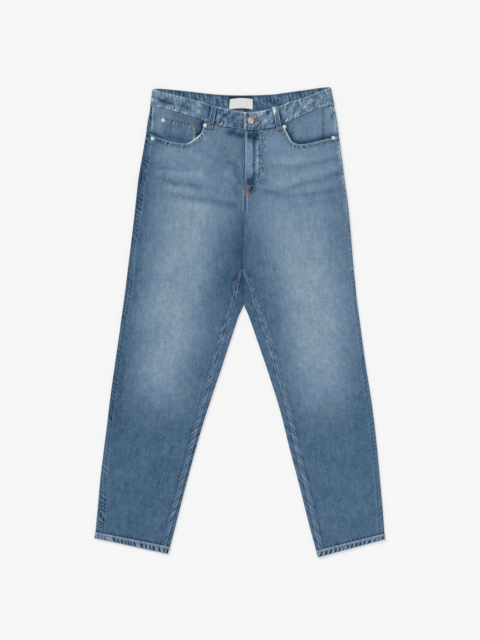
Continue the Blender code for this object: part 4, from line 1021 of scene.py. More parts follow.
def waistband_grid():
    """One strip folded at both sides: right front end, right fold, back, left fold, left front end.

    Returns the grid and, for each column, 1 on the front and 0 on the back.
    """
    low = SEAT_LIFT + BAND / 2
    high = low + BAND_RISE
    right_x = LEGS["right"].outer_x(471.0)
    left_x = LEGS["left"].outer_x(471.0)
    angles = np.linspace(0, math.pi, 9)[1:-1]

    def columns(x, top_table, z, seam=None):
        bottom = line_y(FRONT_BAND_SEAM, x) if seam is None else seam
        return np.column_stack([x, bottom, line_y(top_table, x), z])

    front_right = np.linspace(UNDERLAP_END_X, right_x + BAND_BEND, 150)
    back = np.linspace(right_x + BAND_BEND, left_x - BAND_BEND, 200)
    front_left = np.linspace(left_x - BAND_BEND, OVERLAP_END_X, 122)
    seam_rise = BACK_BAND_SEAM_SIDE_Y - BACK_BAND_SEAM_CENTRE_Y
    seam = BACK_BAND_SEAM_CENTRE_Y + SEAM_GAP + seam_rise * np.clip(np.abs(back - 12.0) / 200.0, 0, 1)
    right_bend = right_x + BAND_BEND * (1 - np.sin(angles))
    left_bend = left_x - BAND_BEND * (1 - np.sin(angles))
    strip = np.vstack([
        columns(front_right, FRONT_BAND_TOP, high - underlap_dip(front_right)),
        columns(right_bend, FRONT_BAND_TOP, low + BAND_RISE * (1 + np.cos(angles)) / 2),
        columns(back, BACK_BAND_TOP, np.full(200, low), seam),
        columns(left_bend, FRONT_BAND_TOP, low + BAND_RISE * (1 - np.cos(angles)) / 2),
        columns(front_left, FRONT_BAND_TOP, high + overlap_lift(front_left)),
    ])
    middle = (right_x + left_x) / 2
    from_middle = (strip[:, 0] - middle) / (left_x - middle)
    slant = np.where(from_middle < 0, BAND_SIDE_SLANTS["right"], -BAND_SIDE_SLANTS["left"]) * from_middle**4
    share = np.linspace(0, 1, 26)[:, None]
    x = strip[:, 0] + slant * share
    y = strip[:, 1] + (strip[:, 2] - strip[:, 1]) * share
    z = np.broadcast_to(strip[:, 3], x.shape)
    on_front = smoothstep(strip[:, 3], low + 0.5, low + BAND_RISE * 0.7)
    return np.stack([x, y, z], axis=-1), on_front


def waistband_marks(along, up, on_front, x):
    """Relief and tone of the waistband: worn blotches between leaning puckers along both edges.

    The front has beaded stitch rows, shades beside the belt loops, spots and a pale left end. Its
    inside is darker, with a shade at both ends of the label.
    """
    blotch = noise(along / 6.5 + up * 2.0, up * 4.6, 3.0) + 0.7 * noise(along / 3.2 - up * 3.0, up * 9.0, 5.0)
    slanted = noise(along / 9.0 + up * 4.5, up * 2.0, 6.0)
    waves_low = ripple(along, 6.2, 61.0, up * 2.2) * bump(up - 0.14, 0.13)
    waves_high = ripple(along, 8.0, 67.0, -up * 1.6) * bump(up - 0.84, 0.2)
    rows = bells(up, BAND_ROWS)
    height = 0.2 * blotch + 0.25 * slanted + 0.34 * waves_low + 0.26 * waves_high - 0.2 * rows
    tone = 121.0 + 30.0 * blotch + 20.0 * slanted + 32.0 * (waves_low + waves_high) + bells(up, BAND_EDGES)
    tone = tone + (78.0 * ripple(along, 6.2, 69.0, up * 2.4) - 8.0) * rows
    for top, bottom in FRONT_BELT_LOOPS.values():
        beside = np.abs(x - bottom[0] - (top[0] - bottom[0]) * up) - BELT_LOOP_WIDTH / 2
        tone = tone - 44.0 * bump(beside - 1.2, 3.2)
    tone = tone + 10.0 * noise(along / 34.0, up * 1.3, 9.0) + 9.0 * smoothstep(-x, 60.0, 150.0)
    for shade, centre, reach, middle, up_reach, slope in BAND_SPOTS:
        tone = tone + shade * bump(x - centre, reach) * bump(up - middle - slope * (x - centre), up_reach)
    inside = 101.0 + 20.0 * blotch + 14.0 * slanted + 28.0 * ripple(along, 8.5, 63.0, up) * bump(up - 0.72, 0.26)
    by_label = np.maximum(np.abs(x - 3.0) - 25.5, 0.0)
    inside = inside - 18.0 * bump(up - 0.95, 0.05) - 52.0 * bump(by_label, 2.6) * smoothstep(up, 0.12, 0.24)
    return height, inside + (tone - inside) * on_front + bells(along[:, -1:] - along, BAND_END)


def strip_points(start, end, width, counts):
    """Middle line and side offsets of a flat strip, as an xy grid: columns across, rows along."""
    start, end = np.array(start, float), np.array(end, float)
    direction = (end - start) / np.linalg.norm(end - start)
    side = np.array([-direction[1], direction[0]]) * width
    along = np.linspace(0, 1, counts[0])[:, None, None]
    across = np.linspace(-0.5, 0.5, counts[1])[None, :, None]
    return start + (end - start) * along + side * across


def front_belt_loop_grid(side):
    """A strip over the waistband, sewn at both ends, bowed by a half sine between them."""
    top, bottom = FRONT_BELT_LOOPS[side]
    xy = strip_points(top, bottom, BELT_LOOP_WIDTH, LOOP_COUNTS)
    share = np.linspace(0, 1, LOOP_COUNTS[0])[:, None]
    highest = float(np.max(front_band_height(np.linspace(top[0], bottom[0], 9))))
    rest = highest + SEAM_GAP + BELT_LOOP_CLOTH / 2
    z = np.broadcast_to(rest + np.sin(math.pi * share), xy.shape[:2])
    return np.concatenate([xy, z[..., None]], axis=-1)


def back_belt_loop_grid(centre):
    """A flat upright strip on the surface that the garment lies on."""
    top, bottom = (np.add(centre, (0.0, step * BACK_BELT_LOOP_LENGTH / 2)) for step in (1, -1))
    xy = strip_points(top, bottom, BELT_LOOP_WIDTH, LOOP_COUNTS)
    return np.concatenate([xy, np.full((*LOOP_COUNTS, 1), CLOTH / 2)], axis=-1)


def loop_marks(share_along, share_across, seed):
    """Relief and tone of a belt loop: leaning waves, painted shade along its edges, pale ridges and dark lines
    inside them.
    """
    waves = ripple(share_along * LOOP_SPAN, 6.0, seed, share_across)
    off_middle = np.abs(share_across - 0.5)
    height = 0.12 * waves + 0.12 * bump(off_middle - 0.42, 0.1) - 0.1 * bump(off_middle - 0.3, 0.05)
    tone = 116.0 + 26.0 * waves + bells(off_middle, LOOP_TONES) - 22.0 * smoothstep(share_along, 0.5, 0.85)
    return height, tone


def back_pocket_grid(leg):
    """The back pocket as a grid: columns across its width, rows from its pointed foot to its top.

    Width runs from the foot's to the top's, and the foot drops to the point in the middle.
    """
    half = BACK_POCKET["height"] / 2
    up = np.linspace(0, 1, 60)[:, None]
    across = np.linspace(-1, 1, 61)[None, :]
    foot = -half + BACK_POCKET["point"] * np.abs(across)
    y = foot + (half - foot) * up
    rise = np.clip((y + half - BACK_POCKET["point"]) / (2 * half - BACK_POCKET["point"]), 0, 1)
    half_width = (BACK_POCKET["bottom_width"] + (BACK_POCKET["width"] - BACK_POCKET["bottom_width"]) * rise) / 2
    x = across * half_width
    turn = math.radians(BACK_POCKET["turn"] * leg.outward)
    centre = BACK_POCKET_CENTRES[leg.side]
    turned_x = centre[0] + x * math.cos(turn) - y * math.sin(turn)
    turned_y = centre[1] + x * math.sin(turn) + y * math.cos(turn)
    z = np.full(turned_x.shape, CLOTH / 2)
    return np.stack([turned_x, turned_y, z], axis=-1), np.broadcast_to(across, z.shape), np.broadcast_to(up, z.shape)


def unit(vectors):
    """The vectors, each made one long."""
    return vectors / np.maximum(np.linalg.norm(vectors, axis=-1, keepdims=True), 1e-9)


def push_out(grid, height, sign, ring=False):
    """Moves each point of a grid along its surface normal: the cross product of its two directions.

    A ring closes on itself across its columns, so it gets two more columns at each end for this.
    """
    if ring:
        wide, high = (np.concatenate([part[:, -2:], part, part[:, :2]], axis=1) for part in (grid, height))
        return push_out(wide, high, sign)[:, 2:-2]
    normal = unit(np.cross(np.gradient(grid, axis=1), np.gradient(grid, axis=0)))
    return grid + sign * normal * height[..., None]


def in_frame(points):
    """Drawing millimetres to metres in the frame."""
    return (np.asarray(points, float) - [*DRAWN_MIDDLE, 0.0]) * MM


# Sizes of the denim's patterns in metres, and how much tone each adds: width and length of a slub, pitch of the
# twill lines, grit and flecks. The label's ribs, and the patches of faded thread and of worn metal.
SLUB_SIZE = (0.0028, 0.034)
TWILL_PITCH = 0.0024
TWILL_ANGLE = math.radians(63)
GRIT_SIZE = 0.0032
FLECK_SIZE = 0.011
SLUB_TONE = 0.13
TWILL_TONE = 0.022
GRIT_TONE = 0.18
FLECK_TONE = 0.11
RIB_PITCH = 0.0011
THREAD_PATCH = 0.006
METAL_PATCH = 0.0025

# Sockets of the mix node that take and give colours, and the wave node's scale for one band per metre.
MIX_FIRST = 6
MIX_SECOND = 7
MIX_RESULT = 2
WAVE_SCALE = 0.314


def to_linear(hex_colour):
    """sRGB hex to the linear colour that a shader takes."""
    parts = [int(hex_colour[k : k + 2], 16) / 255 for k in (0, 2, 4)]
    return tuple(c / 12.92 if c <= 0.04045 else ((c + 0.055) / 1.055) ** 2.4 for c in parts)


def new_object(name, data):
    """An object of that data in the scene's collection."""
    made = bpy.data.objects.new(name, data)
    bpy.context.scene.collection.objects.link(made)
    return made


def mesh_object(name, points, faces, material_name, node=None):
    """A smooth mesh piece in the frame that rides on the body, and stands for node if it is given."""
    mesh = bpy.data.meshes.new(name)
    mesh.from_pydata(in_frame(points).tolist(), [], faces)
    mesh.shade_smooth()
    mesh.materials.append(shared_material(material_name))
    piece = new_object(name, mesh)
    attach(piece, BODY)
    if node:
        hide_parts(node)
    return piece


def grid_faces(rows, columns, ring=False, turned=False):
    """Four-cornered faces of a grid, closed round its columns if it is a ring."""
    number = np.arange(rows * columns).reshape(rows, columns)
    if ring:
        number = np.column_stack([number, number[:, 0]])
    corners = [number[:-1, :-1], number[:-1, 1:], number[1:, 1:], number[1:, :-1]]
    faces = np.stack(corners, axis=-1).reshape(-1, 4)
    return faces[:, ::-1] if turned else faces


def put_attribute(mesh, name, values):
    layer = mesh.attributes.new(name, "FLOAT", "POINT")
    layer.data.foreach_set("value", np.ascontiguousarray(values, np.float32).ravel())


def put_uv(mesh, across, along):
    """A UV map in metres: across and along the grain."""
    corners = np.empty(len(mesh.loops), np.int32)
    mesh.loops.foreach_get("vertex_index", corners)
    uv = np.column_stack([np.ravel(across), np.ravel(along)])[corners] * MM
    mesh.uv_layers.new(name="grain").data.foreach_set("uv", uv.astype(np.float32).ravel())


def leg_grain(leg, grid):
    """Across from the leg's middle line, and up the leg."""
    x, y = grid[..., 0], grid[..., 1]
    return x - (leg.outer_x(y) + leg.inner_x(y)) / 2, y


def lay_cloth(kind, side, grid, marks, grain, sign, ring=False):
    """A shell of cloth that stands for the node of the same name.

    The grid is pushed out by its relief and gets the wall of its cut by live thickness. marks is
    relief and tone, grain is the coordinates across and along the warp, and sign says to which side
    of the grid the outside lies.
    """
    material_name, slot, wall, flat = CUTS[kind]
    name = f"{kind}_{side}" if side else kind
    height, tone = marks
    points = push_out(grid, height, sign, ring).reshape(-1, 3)
    faces = grid_faces(*grid.shape[:2], ring, turned=sign < 0).tolist()
    piece = mesh_object(name + "_cloth", points, faces, material_name, name)
    put_attribute(piece.data, "tone", tone / 255.0)
    put_uv(piece.data, *grain)
    solid = piece.modifiers.new("Wall", "SOLIDIFY")
    solid.thickness = wall * MM
    solid.offset = 0.0


def set_sockets(tree, node, inputs):
    """Sets or links sockets from (socket, value) pairs, where a value may be another node's output."""
    for socket, value in inputs:
        if isinstance(value, bpy.types.NodeSocket):
            tree.links.new(value, node.inputs[socket])
        else:
            node.inputs[socket].default_value = value


def add_node(tree, kind, inputs=(), **settings):
    """Adds one node with its settings, and its inputs as set_sockets takes them."""
    node = tree.nodes.new(kind)
    for name, value in settings.items():
        setattr(node, name, value)
    set_sockets(tree, node, inputs)
    return node


def new_material(name):
    """A material, and the two functions that add a node to it and set its shader's sockets."""
    made = bpy.data.materials.new(name)
    made.use_nodes = True
    tree = made.node_tree
    shader = tree.nodes["Principled BSDF"]
    return made, functools.partial(add_node, tree), functools.partial(set_sockets, tree, shader)


def add_blend(add, factor, low, high):
    """A colour between two hex colours, by a node's output."""
    colours = [(MIX_FIRST, (*to_linear(low), 1.0)), (MIX_SECOND, (*to_linear(high), 1.0))]
    return add("ShaderNodeMix", [("Factor", factor), *colours], data_type="RGBA").outputs[MIX_RESULT]


def add_patches(add, where, size, detail):
    """Uneven patches of that size in metres, as a value."""
    return add("ShaderNodeTexNoise", [("Vector", where), ("Scale", 1 / size), ("Detail", detail)]).outputs["Fac"]


def add_lines(add, where, pitch, distortion, **settings):
    """Soft lines of that pitch in metres, as a value."""
    inputs = [("Vector", where), ("Scale", WAVE_SCALE / pitch), ("Distortion", distortion), ("Detail", 1.0)]
    return add("ShaderNodeTexWave", inputs, **settings).outputs["Fac"]


def denim_material(name, contrast):
    """Washed indigo denim, 3/1 twill of about 13 ounces, enzyme washed: matt, with slubby pale yarns.

    The real twill lines are about 0.8 mm apart and don't show at this size, so they are drawn at
    2.4 mm, and slubs of 1 mm are drawn 2.8 mm wide and 34 mm long.
    """
    material, add, set_shader = new_material(name)
    grain = add("ShaderNodeUVMap", uv_map="grain").outputs["UV"]
    place = add("ShaderNodeTexCoord").outputs["Object"]
    tone = add("ShaderNodeAttribute", attribute_name="tone").outputs["Fac"]
    slub_place = add("ShaderNodeMapping", [("Vector", grain), ("Scale", (1 / SLUB_SIZE[0], 1 / SLUB_SIZE[1], 1.0))])
    twill_place = add("ShaderNodeMapping", [("Vector", grain), ("Rotation", (0, 0, TWILL_ANGLE))])

    def add_math(operation, first, second):
        return add("ShaderNodeMath", [(0, first), (1, second)], operation=operation).outputs[0]

    slub = add_patches(add, slub_place.outputs[0], 1.0, 2.0)
    twill = add_lines(add, twill_place.outputs[0], TWILL_PITCH, 1.2, wave_type="BANDS")
    grit = add_patches(add, place, GRIT_SIZE, 3.0)
    fleck = add_patches(add, place, FLECK_SIZE, 2.0)
    total = tone
    for source, amount in ((slub, SLUB_TONE), (twill, TWILL_TONE), (grit, GRIT_TONE), (fleck, FLECK_TONE)):
        centred = add_math("SUBTRACT", source, 0.5)
        total = add_math("ADD", total, add_math("MULTIPLY", centred, amount * contrast))
    ramp = add("ShaderNodeValToRGB", [("Fac", total)])
    stops = ramp.color_ramp.elements
    while len(stops) < len(INDIGO_STOPS):
        stops.new(0.5)
    for stop, (level, colour) in zip(stops, INDIGO_STOPS):
        stop.position = level / 255.0
        stop.color = (*to_linear(colour), 1.0)
    rough = add_math("ADD", add_math("ADD", grit, twill), slub)
    raised = add("ShaderNodeBump", [("Height", rough), ("Distance", 0.0003), ("Strength", 0.6)])
    set_shader([
        ("Base Color", ramp.outputs["Color"]), ("Normal", raised.outputs["Normal"]), ("Roughness", 0.9),
        ("Specular IOR Level", 0.08), ("Sheen Weight", 0.05), ("Sheen Roughness", 0.6),
    ])
    return material


def thread_material(name, colour, pale):
    """Spun polyester-cotton sewing thread, faded by the wash: soft and uneven along its length."""
    material, add, set_shader = new_material(name)
    place = add("ShaderNodeTexCoord").outputs["Object"]
    patch = add_patches(add, place, THREAD_PATCH, 2.0)
    set_shader([
        ("Base Color", add_blend(add, patch, colour, pale)), ("Roughness", 0.75), ("Specular IOR Level", 0.3),
    ])
    return material


def metal_material(name, dark, colour, roughness):
    """Cast metal worn by the wash: bright on the high parts, duller where the finish has greyed."""
    material, add, set_shader = new_material(name)
    place = add("ShaderNodeTexCoord").outputs["Object"]
    patch = add_patches(add, place, METAL_PATCH, 3.0)
    raised = add("ShaderNodeBump", [("Height", patch), ("Distance", 0.00008)]).outputs["Normal"]
    set_shader([
        ("Base Color", add_blend(add, patch, dark, colour)), ("Normal", raised), ("Roughness", roughness),
        ("Metallic", 1.0),
    ])
    return material


def label_material(name, colour, pale):
    """Woven satin label: fine weft ribs, drawn 1.1 mm apart where the real ones are 0.3 mm."""
    material, add, set_shader = new_material(name)
    grain = add("ShaderNodeUVMap", uv_map="grain").outputs["UV"]
    ribs = add_lines(add, grain, RIB_PITCH, 0.6, bands_direction="Y")
    raised = add("ShaderNodeBump", [("Height", ribs), ("Distance", 0.0001)]).outputs["Normal"]
    set_shader([
        ("Base Color", add_blend(add, ribs, colour, pale)), ("Normal", raised), ("Roughness", 0.6),
        ("Sheen Weight", 0.2),
    ])
    return material


MATERIALS = {
    # 13 ounce indigo denim, enzyme washed: matt blue, flecked by its slubs and faded by the tone.
    "washed_indigo_denim": (denim_material, 1.0),
    # The same denim worked into seams, hems and loops: its wear is stronger and more uneven.
    "seam_worked_indigo_denim": (denim_material, 1.5),
    # Blue-grey spun thread, washed pale: stitches that stand out a little from the cloth.
    "washed_blue_grey_thread": (thread_material, "7388a0", "aebbc6"),
    # Tobacco spun thread, faded to a brown grey: dull dashes at the pockets and hems.
    "faded_tobacco_thread": (thread_material, "6b675f", "a09a8f"),
    # Rust thread of the bar tacks, faded: small warm patches.
    "faded_rust_thread": (thread_material, "86736a", "b5a096"),
    # Rust thread of the buttonhole, little faded: the warmest mark of the front.
    "rust_buttonhole_thread": (thread_material, "804f38", "ab7250"),
    # Nickel plated rivet caps, tumbled in the wash: small bright spots with a soft gleam.
    "tumbled_nickel_rivet": (metal_material, "b3c0bf", "d6e0df", 0.55),
    # Copper plated button, worn: a dull pinkish disc with a soft gleam.
    "worn_copper_button": (metal_material, "b09c92", "cdb8ac", 0.5),
    # White polyester satin weave: a flat, pale and blank label.
    "blank_woven_satin": (label_material, "d4d8d7", "eaeeed"),
}


def shared_material(name):
    """The material of that name, made the first time that a piece asks for it."""
    make, *settings = MATERIALS[name]
    return bpy.data.materials.get(name) or make(name, *settings)


def resampled(path, pitch):
    """Middles and directions of stitches every pitch millimetres along a path of points."""
    path = np.asarray(path, float)
    along = path_lengths(path)
    places = np.arange(pitch / 2, along[-1], pitch)
    middle, ahead, behind = (
        np.column_stack([np.interp(places + step, along, column) for column in path.T]) for step in (0.0, 0.6, -0.6)
    )
    return middle, unit(ahead - behind)


def sideways(direction):
    """Flat directions turned a quarter to the left."""
    return np.column_stack([-direction[:, 1], direction[:, 0]])


# One stitch as rings of place, width and height, in shares of its length, width and thickness.
STITCH_RINGS = ((-0.42, 0.75, 0.7), (0.0, 1.0, 1.0), (0.42, 0.75, 0.7))
STITCH_TIPS = ((-0.5, 0.0, -0.4), (0.5, 0.0, -0.4))


def stitch_template(length, width, thickness):
    """Corners, triangles and quads of one stitch: square rings along a bar whose tips dip into the cloth."""
    corners = [STITCH_TIPS[0]]
    for place, wide, high in STITCH_RINGS:
        corners += [(place, -wide / 2, 0.0), (place, 0.0, high / 2), (place, wide / 2, 0.0), (place, 0.0, -high / 2)]
    corners.append(STITCH_TIPS[1])
    near = np.arange(4)
    after = (near + 1) % 4
    start, end = np.full(4, 0), np.full(4, 13)
    tips = [np.column_stack([start, 1 + after, 1 + near]), np.column_stack([end, 9 + near, 9 + after])]
    sides = [np.column_stack([k + near, k + after, k + 4 + after, k + 4 + near]) for k in (1, 5)]
    return np.array(corners) * (length, width, thickness), np.vstack(tips), np.vstack(sides)


def stitch_object(name, runs, size, material_name):
    """One piece that holds many stitches: the template turned to each stitch's direction and up."""
    template, *shapes = stitch_template(*size)
    middle, ahead, up = (np.vstack(part) for part in zip(*runs))
    side = unit(np.cross(up, ahead))
    turned = np.stack([ahead, side, np.cross(ahead, side)], axis=1)
    points = middle[:, None, :] + template @ turned
    first = np.arange(len(middle))[:, None, None] * len(template)
    tips, sides = ((shape + first).reshape(-1, shape.shape[1]).tolist() for shape in shapes)
    return mesh_object(name, points.reshape(-1, 3), tips + sides, material_name)


def stitch_run(middle, z, ahead, up=1.0):
    """Places, directions and upward directions of a run of stitches."""
    return np.column_stack([middle, z]), ahead, np.tile([0.0, 0.0, up], (len(middle), 1))


def on_surface(path, height_at, pitch, lift=STITCH_LIFT, up=1.0):
    """Stitches of a flat path, laid on a surface given by its height at x and y."""
    middle, direction = resampled(path, pitch)
    z, ahead, behind = (height_at(*(middle + step * direction).T) for step in (0.0, 1.0, -1.0))
    return stitch_run(middle, z + lift * up, unit(np.column_stack([direction, (ahead - behind) / 2])), up)


def front_face(leg):
    """Height of the outer face of the upper layer as a function of x and y."""

    def height_at(x, y):
        x, y = np.atleast_1d(x), np.atleast_1d(y)
        return leg.upper_height(x, y) + upper_marks(leg, x, y)[0] + CLOTH / 2

    return height_at


def offset_path(path, distance):
    """A path moved sideways, to the left of its direction."""
    return path + sideways(unit(np.gradient(path, axis=0))) * distance


def hem_stitches(leg, pitch):
    """One row along the upper layer of the hem, a sixth of its height under its upper edge."""
    outer, inner, length = hem_ends(through(leg.sections, [HEM_TOP_ROW * HEM_ROW])[0])
    share = np.linspace(3.0, length - 3.0, 200) / length

    def height_at(x, y):
        across = np.abs(x - outer[0]) * length / abs(inner[0] - outer[0])
        return hem_height(across, length) + hem_marks(leg, across, HEM_ROW)[0] + BAND / 2

    return on_surface(outer + (inner - outer) * share[:, None], height_at, pitch)


def waistband_face(x, y):
    """Height of the waistband's front face."""
    return front_band_height(x) + 0.05


def coin_pocket_face(x, y):
    """Height of the coin pocket's face."""
    return LEGS["right"].upper_height(x, y) - COIN_DEPTH + COIN_CLOTH / 2 + 0.13


def band_inner_face(x, y):
    """Height of the waistband's back, seen inside it."""
    return np.full(np.shape(x), SEAT_LIFT + BAND + 0.05)


def waistband_stitches(pitch):
    """Two rows over the waistband's front seam and one under its upper edge, on both ends of the band."""
    runs = []
    for ends in BAND_STITCH_ENDS:
        x = np.linspace(*ends, 160)
        for edge, up in BAND_STITCH_ROWS:
            path = np.column_stack([x, line_y(edge, x) + up])
            runs.append(on_surface(path, waistband_face, pitch, BAND_STITCH_LIFT))
    return runs


def loop_face(line):
    """The function that gives the height of a belt loop's face, from points along the loop."""

    def height_at(x, y):
        return np.interp(-y, -line[:, 1], line[:, 2]) + BELT_LOOP_CLOTH / 2

    return height_at


def loop_stitches(pitch):
    """A row near each long edge of every front belt loop."""
    lines = [front_belt_loop_grid(side)[:, column] for side in FRONT_BELT_LOOPS for column in (2, 10)]
    return [on_surface(line[:, :2], loop_face(line), pitch) for line in lines]


def underside(x, y):
    """Height of the threads under the garment, pressed into the cloth so that it rests flat."""
    return np.full(np.shape(x), 0.2)


def back_pocket_stitches(pitch):
    """Two rows round each back pocket, seen from under the garment, and two under its opening."""
    runs = []
    for leg in LEGS.values():
        grid = back_pocket_grid(leg)[0][..., :2]
        for inset in (1, 4):
            ring = np.concatenate([grid[::-1, inset], grid[inset, inset:-inset], grid[:, -1 - inset]])
            for path in (ring, grid[-2 * inset, 2:-2]):
                runs.append(on_surface(path, underside, pitch, UNDER_STITCH_LIFT, up=-1.0))
    return runs


def zigzag(start, end, height_at):
    """A bar tack: close stitches across a bar, leaning one way and then the other."""
    middle, direction = resampled([start, end], TACK_PITCH)
    lean = np.where(np.arange(len(middle)) % 2 == 0, TACK_LEAN, -TACK_LEAN)[:, None]
    ahead = np.column_stack([unit(sideways(direction) + lean * direction), np.zeros(len(middle))])
    return stitch_run(middle, height_at(*middle.T) + BAND_STITCH_LIFT, ahead)


def bar_tacks(faces):
    """The coin pocket's, fly's and front belt loops' bar tacks, each on the surface that it is sewn on."""
    runs = [zigzag(*ends, coin_pocket_face) for ends in COIN_POCKET_TACKS]
    runs += [zigzag(*ends, faces[side]) for side, *ends in FLY_TACKS]
    for side in FRONT_BELT_LOOPS:
        grid = front_belt_loop_grid(side)
        runs += [zigzag(grid[row, 1, :2], grid[row, -2, :2], loop_face(grid[:, 6])) for row in (38, 41)]
    return runs


def buttonhole_ring():
    """Stitches round the buttonhole: along two lines that meet in a point, pointing out from it."""
    middle, direction = resampled(through(BUTTONHOLE, np.linspace(0, len(BUTTONHOLE) - 1, 80)), BUTTONHOLE_PITCH)
    ahead = np.column_stack([sideways(direction), np.zeros(len(middle))])
    return stitch_run(middle, waistband_face(*middle.T) + BAND_STITCH_LIFT, ahead)


def leg_stitches(leg, face, pitch):
    """Pale runs along the inseam, which meet at the crotch, and brown ones round the mouth and the hem."""
    y = np.linspace(hem_line(leg, leg.sections[HEM_TOP_ROW, 3]) + 4.0, CROTCH_Y - 4.0, 300)
    meeting = np.minimum(1.0, (CROTCH_Y - y) / 40.0)
    pale = []
    for inset in INSEAM_STITCH_INSETS:
        x = leg.inner_x(y) + leg.outward * (leg.inseam_inset(y) + inset * meeting + 1.0)
        pale.append(on_surface(np.column_stack([x, y]), face, pitch))
    rows = [offset_path(leg.mouth_line, inset * leg.outward)[4:-5] for inset in MOUTH_STITCH_INSETS]
    return pale, [on_surface(path, face, pitch) for path in rows] + [hem_stitches(leg, pitch)]


def fly_stitches(faces, pitch):
    """Two rows down the fly and round its foot, and the short rows beside the centre seam."""
    runs = [on_surface(ends, faces[side], pitch) for side, ends in FLY_ROWS]
    for inset in (0.0, FLY_ROW_GAP):
        path = through(FLY_CURVE + (-inset, inset * 0.35), np.linspace(0, len(FLY_CURVE) - 1, 60))
        runs.append(on_surface(path, faces["left"], pitch))
    return runs


def turned_piece(name, profile, radius, place, material_name, slot, node):
    """A round piece on its node's foot: a profile of radius and height turned about an upright axis."""
    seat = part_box(node)[0][2] / MM
    angles = np.linspace(0, 2 * math.pi, TURN_STEPS, endpoint=False)
    rings = profile[1:-1, :1] * radius
    x = place[0] + rings * np.cos(angles)
    y = place[1] + rings * np.sin(angles)
    z = np.broadcast_to(seat + profile[1:-1, 1:], x.shape)
    ends = [(*place, seat + height) for height in profile[[0, -1], 1]]
    points = np.vstack([np.stack([x, y, z], axis=-1).reshape(-1, 3), ends])
    step = np.arange(TURN_STEPS)
    after = (step + 1) % TURN_STEPS
    last = x.size - TURN_STEPS
    caps = [
        np.column_stack([np.full(TURN_STEPS, x.size), step, after]),
        np.column_stack([np.full(TURN_STEPS, x.size + 1), last + after, last + step]),
    ]
    faces = grid_faces(*x.shape, ring=True, turned=True).tolist() + np.vstack(caps).tolist()
    return mesh_object(name, points, faces, material_name, node)


class JeansSizes(bpy.types.PropertyGroup):
    """Sizes that a user would change.

    Real topstitches are about 3.2 mm apart and 0.6 mm thick. They are made coarser so that they show.
    """

    stitch_length: bpy.props.FloatProperty(
        name="Stitch length", description="Length of one topstitch", default=0.0033, unit="LENGTH"
    )
    stitch_pitch: bpy.props.FloatProperty(
        name="Stitch pitch", description="From one topstitch to the next", default=0.0047, unit="LENGTH"
    )
    thread_width: bpy.props.FloatProperty(
        name="Thread width", description="Width of the topstitch thread", default=0.0012, unit="LENGTH"
    )
    floor_size: bpy.props.FloatProperty(
        name="Floor size", description="Side of the square floor", default=30.0, unit="LENGTH"
    )


class JeansColours(bpy.types.PropertyGroup):
    """Colours that a user would change."""

    floor: bpy.props.FloatVectorProperty(
        name="Floor", description="Colour of the floor", default=to_linear("f6f6f6"), subtype="COLOR"
    )


class JEANS_OT_front_panels(bpy.types.Operator):
    """Makes both front panels, from the hems to the pocket mouths and the waistband."""

    bl_idname = "jeans.front_panels"
    bl_label = "Front panels"

    def execute(self, context):
        for side, leg in LEGS.items():
            grid = front_panel_grid(leg)
            marks = upper_marks(leg, grid[..., 0], grid[..., 1])
            lay_cloth("front_panel", side, grid, marks, leg_grain(leg, grid), -leg.outward)
        return {"FINISHED"}


class JEANS_OT_back_panels(bpy.types.Operator):
    """Makes both back panels and yokes, with their lips round the side and inner folds."""

    bl_idname = "jeans.back_panels"
    bl_label = "Back panels and yokes"

    def execute(self, context):
        for side, leg in LEGS.items():
            for kind, grid, rests_on in (
                ("back_panel", back_panel_grid(leg), "floor"),
                ("back_yoke", yoke_grid(leg), "back_panel_" + side),
            ):
                lay_cloth(kind, side, grid, back_marks(leg, grid), leg_grain(leg, grid), leg.outward)
        return {"FINISHED"}


class JEANS_OT_hems(bpy.types.Operator):
    """Makes both hems as roped rings of double cloth, with relief on their upper side alone."""

    bl_idname = "jeans.hems"
    bl_label = "Hems"

    def execute(self, context):
        for side, leg in LEGS.items():
            grid, around = hem_grid(leg)
            up = np.broadcast_to(np.linspace(0, 1, len(grid))[:, None], around.shape)
            height, tone = hem_marks(leg, around, up)
            height = height * smoothstep(grid[..., 2], BAND, BAND + 2.0)
            lay_cloth("hem", side, grid, (height, tone), (around, grid[..., 1]), leg.outward, ring=True)
        return {"FINISHED"}


class JEANS_OT_waistband(bpy.types.Operator):
    """Makes the waistband as one folded strip with its overlap at the front."""

    bl_idname = "jeans.waistband"
    bl_label = "Waistband"

    def execute(self, context):
        grid, on_front = waistband_grid()
        rows, columns = grid.shape[:2]
        along = np.broadcast_to(path_lengths(grid[rows // 2]), (rows, columns))
        up = np.broadcast_to(np.linspace(0, 1, rows)[:, None], (rows, columns))
        marks = waistband_marks(along, up, on_front, grid[..., 0])
        grain = (up * BAND_HEIGHT, along)
        lay_cloth("waistband", "", grid, marks, grain, -1.0)
        return {"FINISHED"}


class JEANS_OT_pockets(bpy.types.Operator):
    """Makes the pocket facings and the coin pocket."""

    bl_idname = "jeans.pockets"
    bl_label = "Pocket facings and coin pocket"

    def execute(self, context):
        for side, leg in LEGS.items():
            grid = pocket_facing_grid(leg)
            marks = pocket_facing_marks(leg, grid[..., 0], grid[..., 1])
            lay_cloth("pocket_facing", side, grid, marks, leg_grain(leg, grid), -leg.outward)
        leg = LEGS["right"]
        grid = coin_pocket_grid(leg)
        marks = coin_pocket_marks(grid[..., 0], grid[..., 1])
        lay_cloth("coin_pocket", "", grid, marks, leg_grain(leg, grid), 1.0)
        return {"FINISHED"}


